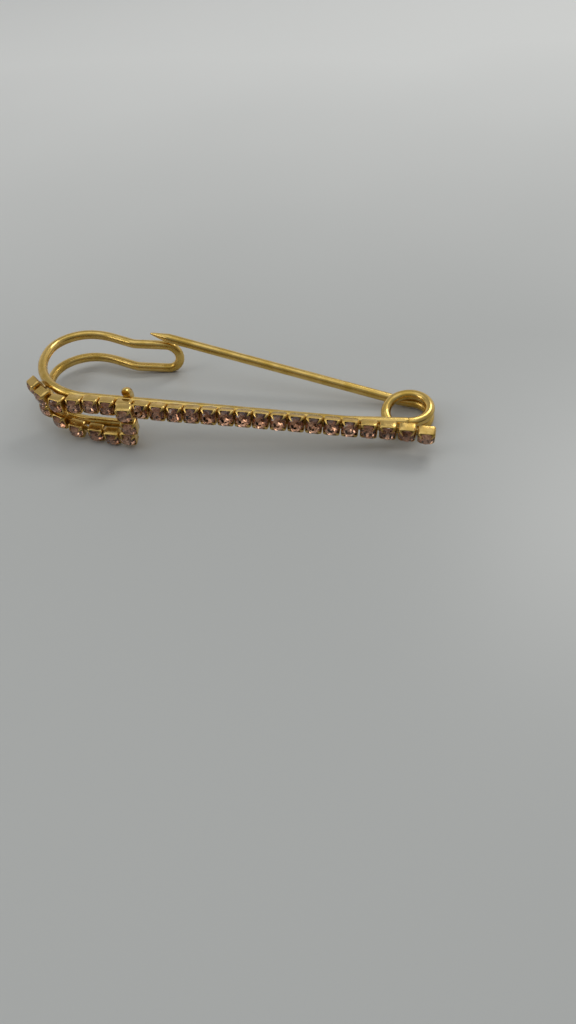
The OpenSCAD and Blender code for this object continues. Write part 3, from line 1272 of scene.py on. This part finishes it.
@dataclass
class CupShape:
    """A stamped square cup with four prongs bent over its stone.

    Its own Z is the way that the stone looks, and 0 is its base.

    Attributes:
        half: half of the cup's width.
        squareness: the power of its outline; a higher one has sharper corners.
        crowding: how far the columns are moved towards the corners, in radians.
        wall: thickness of the metal.
        base_share: size of the base's first ring, as a share of the cup's.
        base_rings: inset and height of the rings round the base's edge and up the wall.
        wall_top: height of the walls between the prongs.
        dip: how far the walls' edge sinks in the middle of a side.
        prong_top: height of a prong's tip.
        prong_half_angle: half of the angle that a prong's foot takes.
        prong_power: the power of a prong's outline; a lower one is broader.
        tip_reach: distance of a prong's tip from the middle.
        lean_from: height at which the metal starts to lean inwards.
        lean_power: the power by which the lean grows with the height.
        lip_rise: how far the rounded lip stands above the middle of the metal's edge.
        lip_inset: how far it is moved inwards.
        pocket_ring: height of a ring part of the way down the pocket's wall.
        floor: height of the pocket's floor.
        fillet: run and rise of the corner round the pocket's floor.
        columns: how many points there are round the cup.
        levels: how many rings there are up the wall and prongs.
        sharp: the angle in degrees past which an edge stays crisp.
        prong_heights: lowest and highest factor on a prong's height.
        prong_leans: lowest and highest factor on how far a prong leans in.
        spin: how far a cup may be turned either way, in degrees.
        base_painted_shade: how much painted shade the base's middle and first two rings have.
        pocket_painted_shade: how much painted shade the first and last ring inside the cup have,
            before these shares are held between 0 and 1.
    """

    half: float = 1.21
    squareness: float = 7.0
    crowding: float = 0.16
    wall: float = 0.11
    base_share: float = 0.5
    base_rings: tuple[tuple[float, float], ...] = ((0.16, 0.0), (0.05, 0.03), (0.0, 0.13), (0.0, 0.9))
    wall_top: float = 1.41
    dip: float = 0.03
    prong_top: float = 1.97
    prong_half_angle: float = 8.5
    prong_power: float = 0.7
    tip_reach: float = 0.74
    lean_from: float = 1.33
    lean_power: float = 1.25
    lip_rise: float = 0.05
    lip_inset: float = 0.02
    pocket_ring: float = 0.95
    floor: float = 0.35
    fillet: tuple[float, float] = (0.08, 0.06)
    columns: int = 96
    levels: int = 7
    sharp: float = 38.0
    prong_heights: tuple[float, float] = (0.85, 1.05)
    prong_leans: tuple[float, float] = (0.9, 1.06)
    spin: float = 1.2
    base_painted_shade: tuple[float, float, float] = (0.7, 0.6, 0.3)
    pocket_painted_shade: tuple[float, float] = (-0.3, 1.1)

    def angles(self) -> np.ndarray:
        """Angles round the cup, crowded at the corners: a - crowding sin 4(a - 45 degrees)."""
        a = round_angles(self.columns)
        return a - self.crowding * np.sin(4 * (a - TURN / 8))

    def outline(self, a: np.ndarray) -> np.ndarray:
        """A square with rounded corners: half / (|cos a|^n + |sin a|^n)^(1/n)."""
        n = self.squareness
        return self.half / (np.abs(np.cos(a)) ** n + np.abs(np.sin(a)) ** n) ** (1 / n)

    def prong_share(self, a: np.ndarray) -> np.ndarray:
        """1 at the middle of a prong, falling evenly to 0 at the edges of its foot."""
        off = np.abs((a + TURN) % (TURN / 4) - TURN / 8)
        return np.clip(1 - off / math.radians(self.prong_half_angle), 0, 1)

    def rings(self, prong_scale: np.ndarray, lean_scale: np.ndarray) -> np.ndarray:
        """The rings of points of several cups, from the middle of the base to that of the pocket.

        The outer wall goes up to an edge that is level between the prongs and rises over each
        as a thorn does, with prong_power of the prong's share. Above lean_from, the distance
        from the middle falls towards the tip's as lean_power of the height. The inner wall
        follows it, closer by the thickness of the metal, straight in low down and downwards
        where it leans.

        Args:
            prong_scale: a factor on the height of each cup's prongs, cups by columns.
            lean_scale: a factor on how far they lean in, cups by columns.

        Returns:
            An array of cups by rings by columns by three, without the two poles.
        """
        a = self.angles()
        reach = self.outline(a)
        edge = self.wall_top - self.dip * np.cos(2 * a) ** 2
        rise = (self.prong_top - self.wall_top) * self.prong_share(a) ** self.prong_power
        top = edge + rise * prong_scale
        flat = np.broadcast_to(reach, top.shape)

        def low(inset: float, height: float) -> tuple[np.ndarray, np.ndarray]:
            """Distance and height of a ring inside the outline, at one height."""
            return flat - inset, np.full(top.shape, height)

        outer, inner = [], []
        for share in np.linspace(0, 1, self.levels):
            z = self.lean_from + share * (top - self.lean_from)
            lean = np.clip((z - self.lean_from) / (self.prong_top - self.lean_from), 0, 1) ** self.lean_power
            r = reach - (reach - self.tip_reach) * lean * lean_scale
            outer.append((r, z))
            inner.append((r - self.wall * (1 - lean), z - self.wall * lean))
        (r_out, z_out), (r_in, z_in) = outer[-1], inner[-1]
        lip = ((r_out + r_in) / 2 - self.lip_inset, (z_out + z_in) / 2 + self.lip_rise)
        run, fillet_rise = self.fillet
        base = [(flat * self.base_share, np.zeros(top.shape)), *(low(*ring) for ring in self.base_rings)]
        pocket = [
            low(self.wall, self.pocket_ring),
            low(self.wall, self.floor + fillet_rise),
            low(self.wall + run, self.floor),
        ]
        rings = base + outer + [lip] + inner[::-1] + pocket
        r, z = (np.stack([ring[part] for ring in rings], 1) for part in (0, 1))
        return np.stack([r * np.cos(a), r * np.sin(a), z], -1)

    def painted_shade_share(self, rings: int) -> np.ndarray:
        """How much painted shade each point of a cup has, pole to pole.

        The base's middle has some, the outside has none, and inside the cup the painted shade grows
        evenly, ring by ring, to 1 on the pocket's floor.

        Args:
            rings: how many rings a cup has.

        Returns:
            One number a point.
        """
        first_inner = 1 + len(self.base_rings) + self.levels + 1
        share = np.zeros(rings)
        share[:2] = self.base_painted_shade[1:]
        share[first_inner:] = np.clip(np.linspace(*self.pocket_painted_shade, rings - first_inner), 0, 1)
        return np.concatenate([self.base_painted_shade[:1], np.repeat(share, self.columns), [1.0]])


@dataclass
class StoneShape:
    """A round cut stone with a table, stars and kites, a girdle, and a foiled back.

    Its own Z is the way that it looks, and 0 is the base of its setting.

    Attributes:
        radius: the girdle's radius.
        table: the table's radius.
        crown_mid: radius at which the stars and kites meet.
        back_mid: radius at which the back's facets meet.
        girdle_low: height of the girdle's lower edge.
        girdle_high: height of its upper edge.
        top: height of the table.
        culet: height of the lowest point.
        tilt: how far a stone may tip either way in its cup, in degrees.
    """

    radius: float = 1.16
    table: float = 0.64
    crown_mid: float = 0.92
    back_mid: float = 0.58
    girdle_low: float = 1.45
    girdle_high: float = 1.52
    top: float = 1.98
    culet: float = 0.77
    tilt: float = 2.0

    def points(self) -> np.ndarray:
        """The stone's points: culet, back ring of 8, girdle rings of 16, crown ring of 8, table of 8.

        The two rings of 8 between stand half a step off, at heights that keep the kites flat.

        Returns:
            An array of 57 points.
        """
        half_step = TURN / 16
        climb = self.back_mid * math.cos(half_step) / self.radius
        back_z = self.culet + (self.girdle_low - self.culet) * climb
        fall = (self.radius - self.crown_mid * math.cos(half_step)) / (self.radius - self.table)
        crown_z = self.girdle_high + (self.top - self.girdle_high) * fall

        def ring(count: int, first: float, r: float, z: float) -> np.ndarray:
            """Points evenly round a circle."""
            a = first + np.arange(count) * TURN / count
            return np.stack([r * np.cos(a), r * np.sin(a), np.full(count, z)], -1)

        return np.concatenate([
            [[0, 0, self.culet]],
            ring(8, half_step, self.back_mid, back_z),
            ring(16, 0, self.radius, self.girdle_low),
            ring(16, 0, self.radius, self.girdle_high),
            ring(8, half_step, self.crown_mid, crown_z),
            ring(8, 0, self.table, self.top),
        ])

    def faces(self) -> tuple[list[np.ndarray], list[int]]:
        """The stone's facets: table, stars, kites, crown and girdle facets, and those of the back.

        Returns:
            Blocks of faces, and for each block 0 for clear glass or 1 for the foil.
        """
        k, j = np.arange(8), np.arange(16)
        back, low, high, crown, table = 1, 9, 25, 41, 49
        before = (k - 1) % 8
        after = (k + 1) % 8
        here, mid, far = 2 * k, 2 * k + 1, (2 * k + 2) % 16
        on = (j + 1) % 16
        clear = [
            (table + k)[None],
            np.stack([table + k, crown + k, table + after], -1),
            np.stack([table + k, crown + before, high + here, crown + k], -1),
            np.stack([crown + k, high + here, high + mid], -1),
            np.stack([crown + k, high + mid, high + far], -1),
            np.stack([low + j, low + on, high + on, high + j], -1),
        ]
        foiled = [
            np.stack([back + k, low + mid, low + here], -1),
            np.stack([back + k, low + far, low + mid], -1),
            np.stack([np.zeros(8, int), back + k, low + here, back + before], -1),
        ]
        return clear + foiled, [0] * len(clear) + [1] * len(foiled)


@dataclass(frozen=True)
class LinkShape:
    """The small flat link between two cups, a pillow with rounded corners.

    Attributes:
        half_width: half of its width.
        half_thick: half of its thickness.
        height: height of its middle above the cups' bases.
        reach: how far from each cup's middle it ends.
        first_ring: where its first ring is on the half circle that spaces the rings, in radians.
        rings: how many rings of points it has.
        columns: how many points a ring has.
        painted_shade: how much painted shade it has, where it lies between the cups.
        sharp: the angle in degrees past which an edge stays crisp.
    """

    half_width: float = 0.42
    half_thick: float = 0.16
    height: float = 0.42
    reach: float = 0.9
    first_ring: float = 0.12
    rings: int = 9
    columns: int = 16
    painted_shade: float = 0.45
    sharp: float = 60.0

    def shells(self, middles: np.ndarray, looks: np.ndarray) -> tuple[np.ndarray, list[np.ndarray]]:
        """The links between places that follow one another.

        At angle a round it and share t along it, a link's half width and half thickness are
        those of a square with rounded corners, 1 / (cos^4 a + sin^4 a)^(1/4), smaller at both
        ends as the fourth root of 1 - (2t - 1)^6. The shares t are (1 - cos u) / 2 for angles u
        that go evenly from first_ring to pi - first_ring.

        Args:
            middles: the places, at the links' height.
            looks: the way that the stone looks at each place.

        Returns:
            The points of the links, links by points by three, and their faces.
        """
        way = unit(middles[1:] - middles[:-1])
        first, last = middles[:-1] + way * self.reach, middles[1:] - way * self.reach
        across = unit(np.cross(unit(looks[:-1] + looks[1:]), way))
        up = np.cross(way, across)
        t = (1 - np.cos(np.linspace(self.first_ring, math.pi - self.first_ring, self.rings))) / 2
        a = round_angles(self.columns)
        size = (1 - (2 * t - 1) ** 6) ** 0.25
        square = 1 / (np.cos(a) ** 4 + np.sin(a) ** 4) ** 0.25
        offset = (
            (square * np.cos(a))[None, :, None] * across[:, None] * self.half_width
            + (square * np.sin(a))[None, :, None] * up[:, None] * self.half_thick
        )
        line = first[:, None] + t[None, :, None] * (last - first)[:, None]
        return closed_shells(first, line[:, :, None] + size[None, :, None, None] * offset[:, None], last)


@dataclass(frozen=True)
class BeadShape:
    """A bead of solder between a cup and the wire, egg-shaped and a little lumpy.

    Attributes:
        half: half of its size along the cup's X, Y and Z.
        inset: how far from a base's middle a bead may be, along each of its sides.
        bridged: the longest distance from a base to the wire's middle that solder bridges.
        sunk: how far its middle is below the cup's base.
        lumps: how far it is out of round, as a share.
        lump_step: how far its lumps are turned from one bead to the next, in radians.
        rings: how many rings of points it has.
        columns: how many points a ring has.
        solder: how much of the solder's colour it has.
        painted_shade: how much painted shade it has, where it lies under a cup.
        sharp: the angle in degrees past which an edge stays crisp.
    """

    half: tuple[float, float, float] = (0.95, 0.62, 0.26)
    inset: float = 0.85
    bridged: float = 1.25
    sunk: float = 0.1
    lumps: float = 0.1
    lump_step: float = 2.4
    rings: int = 9
    columns: int = 20
    solder: float = 0.8
    painted_shade: float = 0.2
    sharp: float = 60.0

    def shells(self, middles: np.ndarray) -> tuple[np.ndarray, list[np.ndarray]]:
        """The beads, each in its cup's own axes.

        A bead is a ball times its half sizes, times 1 + lumps sin(3a + lump_step n), where a is
        the angle round it and n is its number.

        Args:
            middles: the beads' middles.

        Returns:
            The points of the beads, beads by points by three, and their faces.
        """
        b = np.linspace(-math.pi / 2, math.pi / 2, self.rings + 2)[1:-1, None]
        a = round_angles(self.columns)
        up = np.broadcast_to(np.sin(b), (self.rings, self.columns))
        ball = np.stack([np.cos(b) * np.cos(a), np.cos(b) * np.sin(a), up], -1)
        number = np.arange(len(middles))[:, None]
        lumps = 1 + self.lumps * np.sin(3 * a[None] + number * self.lump_step)
        shell = ball[None] * lumps[:, None, :, None] * self.half
        pole = np.array([0, 0, self.half[2]])
        points, faces = closed_shells(-pole, shell, pole)
        return points + middles[:, None], faces


@dataclass
class StoneChain:
    """The settings, their stones, the links between them, and the solder under them.

    Attributes:
        layout: where the settings stand.
        place: where the flat pin goes.
        finishes: the pin's materials.
        cup: the shape of a setting.
        stone: the shape of a stone.
        link: the shape of a link.
        bead: the shape of a bead of solder.
        stone_mid: height of a setting's middle above its base.
        seed: the seed of the small differences between settings.
    """

    layout: ChainLayout
    place: PinPlace
    finishes: Finishes
    cup: CupShape = field(default_factory=CupShape)
    stone: StoneShape = field(default_factory=StoneShape)
    link: LinkShape = field(default_factory=LinkShape)
    bead: BeadShape = field(default_factory=BeadShape)
    stone_mid: float = 1.7
    seed: int = 7

    def build_settings(self, name: str, node: str, seats: Seats) -> bpy.types.Object:
        """Makes one row of cups, whose prongs differ a little in height and lean.

        Args:
            name: the piece's name.
            node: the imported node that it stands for.
            seats: where the cups stand.

        Returns:
            The piece.
        """
        cup, count = self.cup, len(seats.middles)
        rng = np.random.default_rng(self.seed + count)
        quarter = (np.arange(cup.columns) * 4 // cup.columns) % 4
        prong_scale = rng.uniform(*cup.prong_heights, (count, 4))[:, quarter]
        lean_scale = rng.uniform(*cup.prong_leans, (count, 4))[:, quarter]
        rings = cup.rings(prong_scale, lean_scale)
        shapes, faces = closed_shells(np.zeros(3), rings, np.array([0, 0, cup.floor]))
        spins = about_z(rng.uniform(-cup.spin, cup.spin, count))
        shapes = turned(spins, shapes) - [0, 0, self.stone_mid]
        piece = make_piece(name, self.place.points(seats.put(shapes)), faces, sharp=cup.sharp)
        # painted shade: darker deep in each cup and at its base's middle
        add_attribute(piece, "painted_shade", np.tile(cup.painted_shade_share(rings.shape[1]), count))
        finish_piece(piece, [self.finishes.setting], node)
        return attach(piece, Body.FRAME.value)

    def build_stones(self, name: str, node: str, seats: Seats) -> bpy.types.Object:
        """Makes one row of stones, each turned its own way in its cup.

        Args:
            name: the piece's name.
            node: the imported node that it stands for.
            seats: where the stones sit.

        Returns:
            The piece.
        """
        count = len(seats.middles)
        rng = np.random.default_rng(self.seed + 3 * count)
        points = self.stone.points() - [0, 0, self.stone_mid]
        shapes = np.broadcast_to(points, (count, *points.shape))
        shapes = turned(about_z(rng.uniform(0, 45, count)), shapes)
        shapes = turned(about_x(rng.uniform(-self.stone.tilt, self.stone.tilt, count)), shapes)
        blocks, finish_numbers = self.stone.faces()
        faces = repeated(blocks, len(points), count)
        piece = make_piece(name, self.place.points(seats.put(shapes)), faces)
        numbers = np.concatenate([np.full(len(block), n) for block, n in zip(faces, finish_numbers)])
        finish_piece(piece, [self.finishes.glass, self.finishes.foil], node)
        piece.data.polygons.foreach_set("material_index", numbers.astype(np.int32))
        add_attribute(piece, "tone", np.repeat(rng.uniform(0, 1, count), len(points)))
        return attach(piece, Body.FRAME.value)

    def build_links(self, name: str, seats: Seats) -> bpy.types.Object:
        """Makes the small flat links from each cup of a row to the next.

        Args:
            name: the piece's name.
            seats: where the cups stand.

        Returns:
            The piece.
        """
        middles = seats.middles + seats.looks * (self.link.height - self.stone_mid)
        shapes, faces = self.link.shells(middles, seats.looks)
        piece = make_piece(name, self.place.points(shapes), faces, sharp=self.link.sharp)
        # painted shade: the links between the cups are darkened
        add_attribute(piece, "painted_shade", self.link.painted_shade)
        finish_piece(piece, [self.finishes.setting])
        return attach(piece, Body.FRAME.value)

    def soldered(self, seats: Seats, wire_line: np.ndarray) -> tuple[Seats, np.ndarray]:
        """Finds the cups that touch the wire, and where each one's base is nearest to it.

        Args:
            seats: where all the cups stand.
            wire_line: points along the wire's middle.

        Returns:
            The cups that solder can bridge to the wire, and the middle of the bead of each in
            the cup's own axes.
        """
        bases = seats.middles - seats.looks * self.stone_mid
        ways = wire_line[None] - bases[:, None]
        nearest = ways[np.arange(len(bases)), np.linalg.norm(ways, axis=2).argmin(1)]
        beads = np.einsum("nji,nj->ni", seats.turns, nearest)
        beads[:, :2] = np.clip(beads[:, :2], -self.bead.inset, self.bead.inset)
        on_base = np.einsum("nij,nj->ni", seats.turns, beads * [1, 1, 0])
        beads[:, 2] = -self.stone_mid - self.bead.sunk
        touching = np.linalg.norm(nearest - on_base, axis=1) <= self.bead.bridged
        return seats.picked(touching), beads[touching]

    def build_solder(self, name: str, seats: Seats, beads: np.ndarray) -> bpy.types.Object:
        """Makes a bead of solder between each cup and the wire.

        Args:
            name: the piece's name.
            seats: the cups that touch the wire.
            beads: the middle of each bead in its cup's own axes.

        Returns:
            The piece.
        """
        shapes, faces = self.bead.shells(beads)
        piece = make_piece(name, self.place.points(seats.put(shapes)), faces, sharp=self.bead.sharp)
        add_attribute(piece, "solder", self.bead.solder)
        # painted shade: the beads under the cups are darkened
        add_attribute(piece, "painted_shade", self.bead.painted_shade)
        finish_piece(piece, [self.finishes.wire])
        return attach(piece, Body.FRAME.value)


# Table, light and camera


def standing(axes: np.ndarray, place: Place) -> Matrix:
    """The matrix of an object from its own X, Y and Z, as columns, and its place."""
    return Matrix([[*row, at] for row, at in zip(axes.tolist(), place)] + [[0, 0, 0, 1]])


@dataclass(frozen=True)
class Softbox:
    """A soft rectangular light that looks at the pin.

    Attributes:
        name: the light's name.
        place: where it is, in metres.
        size: its width and height.
        power: its power in watts.
        colour: its colour.
    """

    name: str
    place: Place
    size: tuple[float, float]
    power: float
    colour: Colour

    def build(self) -> bpy.types.Object:
        """Makes the light.

        Its width lies square to the row frame's Y, which is tipped a hair so that a light level
        with the pin and straight behind it has a width too.

        Returns:
            The light's object.
        """
        light = bpy.data.lights.new(self.name, "AREA")
        light.shape = "RECTANGLE"
        light.size, light.size_y = self.size
        light.energy = self.power
        light.color = self.colour
        lamp = bpy.data.objects.new(self.name, light)
        bpy.context.scene.collection.objects.link(lamp)
        back = unit(np.array(self.place))
        right = unit(np.cross([0.0, 1.0, 0.001], back))
        lamp.matrix_world = standing(np.stack([right, np.cross(back, right), back], -1), self.place)
        return lamp


@dataclass(frozen=True)
class PhotoCamera:
    """The camera, at the photograph's angle to the pin.

    Attributes:
        eye: its place in the row frame, in metres.
        heading: the way that it looks, from +Y towards +X, in degrees.
        drop: how far it looks down.
        roll: its roll about its own line of sight.
        focal_pixels: its focal length in pixels of the frame.
        frame_width: the frame's width in pixels.
        sensor_width: the width of its sensor, in millimetres.
        clip: the nearest and farthest distance that it sees.
    """

    eye: Place = (0.03114, -0.09225, 0.07504)
    heading: float = -14.828
    drop: float = 45.729
    roll: float = -7.905
    focal_pixels: float = 780.0
    frame_width: float = 576.0
    sensor_width: float = 36.0
    clip: tuple[float, float] = (0.005, 20.0)

    def build(self) -> bpy.types.Object:
        """Makes the camera and gives it to the scene."""
        data = bpy.data.cameras.new("photo_camera")
        data.sensor_fit = "HORIZONTAL"
        data.sensor_width = self.sensor_width
        data.lens = self.sensor_width * self.focal_pixels / self.frame_width
        data.clip_start, data.clip_end = self.clip
        camera = bpy.data.objects.new("photo_camera", data)
        bpy.context.scene.collection.objects.link(camera)
        h, d, r = (math.radians(v) for v in (self.heading, self.drop, self.roll))
        sight = np.array([math.sin(h) * math.cos(d), math.cos(h) * math.cos(d), -math.sin(d)])
        level = np.array([math.cos(h), -math.sin(h), 0])
        above = np.cross(level, sight)
        right = level * math.cos(r) + above * math.sin(r)
        above = above * math.cos(r) - level * math.sin(r)
        camera.matrix_world = standing(np.stack([right, above, -sight], -1), self.eye)
        bpy.context.scene.camera = camera
        return camera


@dataclass(frozen=True)
class Table:
    """The pale table top, a flat sheet at z = 0 that isn't part of the pin.

    Attributes:
        half: half of its side, in metres.
        near: its colour round the pin, darker, as painted shade.
        far: its colour farther back, lighter, as painted light where more light falls on it.
        change: the places along Y between which the painted shade gives way to the painted light.
        waver: how far that change wavers, in metres.
        clouds: how many cloudy patches it has in a metre.
        cloud_range: the noise values between which the patches are spread.
        smooth: its lowest roughness.
        dull: its highest roughness.
    """

    half: float = 3.0
    near: Colour = (0.575, 0.58, 0.565)
    far: Colour = (0.85, 0.85, 0.83)
    change: tuple[float, float] = (0.01, 0.17)
    waver: float = 0.015
    clouds: float = 9.0
    cloud_range: tuple[float, float] = (0.3, 0.7)
    smooth: float = 0.30
    dull: float = 0.36

    def build(self) -> bpy.types.Object:
        """Makes the table and its finish."""
        corners = np.array([[-1, -1, 0], [1, -1, 0], [1, 1, 0], [-1, 1, 0]]) * self.half
        table = make_piece("table_top", corners, [np.array([[0, 1, 2, 3]])])
        material, nodes = new_material("table_top")
        cloud = nodes.noise(nodes.object_coords(), self.clouds, detail=2.0)
        # painted light: the colour runs from darker near the pin to lighter farther back, with a wavering
        # edge
        back = nodes.add("ShaderNodeSeparateXYZ", {0: nodes.object_coords()}).outputs["Y"]
        back = nodes.maths("ADD", back, nodes.spread(cloud, *self.cloud_range, -self.waver, self.waver))
        nodes.shade({
            "Base Color": nodes.mix(nodes.spread(back, *self.change), self.near, self.far),
            "Roughness": nodes.spread(cloud, *self.cloud_range, self.smooth, self.dull),
        })
        table.data.materials.append(material)
        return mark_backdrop(table)


@dataclass(frozen=True)
class Room:
    """What the pin reflects: a room that is bright behind it and overhead, and dim in front.

    Attributes:
        front: the room's colour in front of the pin.
        behind: its colour behind the pin.
        overhead: its colour overhead.
        backdrop: the plain colour that the camera sees instead.
        turn_back: the Y of the directions between which front gives way to behind.
        turn_up: the Z of the directions between which both give way to overhead.
        strength: how bright it is.
    """

    front: Colour = (0.05, 0.042, 0.035)
    behind: Colour = (1.0, 0.99, 0.97)
    overhead: Colour = (0.46, 0.48, 0.49)
    backdrop: Colour = (0.46, 0.465, 0.46)
    turn_back: tuple[float, float] = (-0.3, 0.6)
    turn_up: tuple[float, float] = (0.05, 0.75)
    strength: float = 0.72

    def build(self) -> None:
        """Makes the world."""
        world = bpy.data.worlds.new("room")
        bpy.context.scene.world = world
        world.use_nodes = True
        nodes = Nodes(world.node_tree)
        way = nodes.add("ShaderNodeTexCoord").outputs["Generated"]
        sides = nodes.add("ShaderNodeSeparateXYZ", {0: way}).outputs
        low = nodes.mix(nodes.spread(sides["Y"], *self.turn_back), self.front, self.behind)
        glow = nodes.mix(nodes.spread(sides["Z"], *self.turn_up), low, self.overhead)
        seen = nodes.add("ShaderNodeLightPath").outputs["Is Camera Ray"]
        colour = nodes.mix(seen, glow, self.backdrop)
        background = nodes.add("ShaderNodeBackground", {"Color": colour, "Strength": self.strength})
        nodes.add("ShaderNodeOutputWorld", {"Surface": background.outputs["Background"]})


@dataclass(frozen=True)
class Studio:
    """Everything round the pin.

    Attributes:
        table: the table that it lies on.
        room: what it reflects.
        lights: the softboxes.
        camera: the camera.
    """

    table: Table = Table()
    room: Room = Room()
    lights: tuple[Softbox, ...] = (
        Softbox("window", (0.16, 0.26, 0.30), (0.20, 0.12), 0.32, (1.0, 0.99, 0.97)),
        Softbox("ceiling", (-0.05, 0.02, 0.55), (0.70, 0.50), 0.60, (0.97, 0.99, 1.0)),
        Softbox("side", (-0.35, -0.10, 0.22), (0.14, 0.20), 0.20, (1.0, 0.98, 0.95)),
    )
    camera: PhotoCamera = PhotoCamera()

    def build(self) -> None:
        """Makes it all, and shows colours plainly."""
        self.table.build()
        self.room.build()
        for light in self.lights:
            light.build()
        self.camera.build()
        view = bpy.context.scene.view_settings
        view.view_transform = "Standard"
        view.exposure = 0.0


def report(piece: bpy.types.Object) -> None:
    """Logs a piece's name, size and number of faces."""
    x, y, z = (side / MM for side in piece.dimensions)
    LOG.info("%s: %.2f x %.2f x %.2f mm, %d faces", piece.name, x, y, z, len(piece.data.polygons))


def main() -> None:
    """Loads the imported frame, dresses it and sets the scene."""
    logging.basicConfig(level=logging.INFO, format="%(name)s: %(message)s")
    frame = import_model()
    Studio().build()

    wire = Wire()
    place = PinPlace.from_record(frame["joints"][0], frame["record"]["mounts"][0], wire)
    finishes = Finishes.build()
    chain = StoneChain(ChainLayout(wire), place, finishes)
    bar, ring = chain.layout.bar_seats(), chain.layout.ring_seats()
    soldered, beads = chain.soldered(bar.joined(ring), wire.frame_path().points)
    pieces = [
        wire.build_bar_and_hook(place, soldered.put(beads[:, None])[:, 0], finishes.wire),
        wire.build_coil_and_arm(place, finishes.wire),
        chain.build_settings("bar_cups", "bar_settings", bar),
        chain.build_settings("ring_cups", "ring_settings", ring),
        chain.build_stones("bar_cut_stones", "bar_stones", bar),
        chain.build_stones("ring_cut_stones", "ring_stones", ring),
        chain.build_links("bar_links", bar),
        chain.build_links("ring_links", ring),
        chain.build_solder("solder_beads", soldered, beads),
    ]
    bpy.context.view_layer.update()
    for piece in pieces:
        report(piece)


if __name__ == "__main__":
    main()
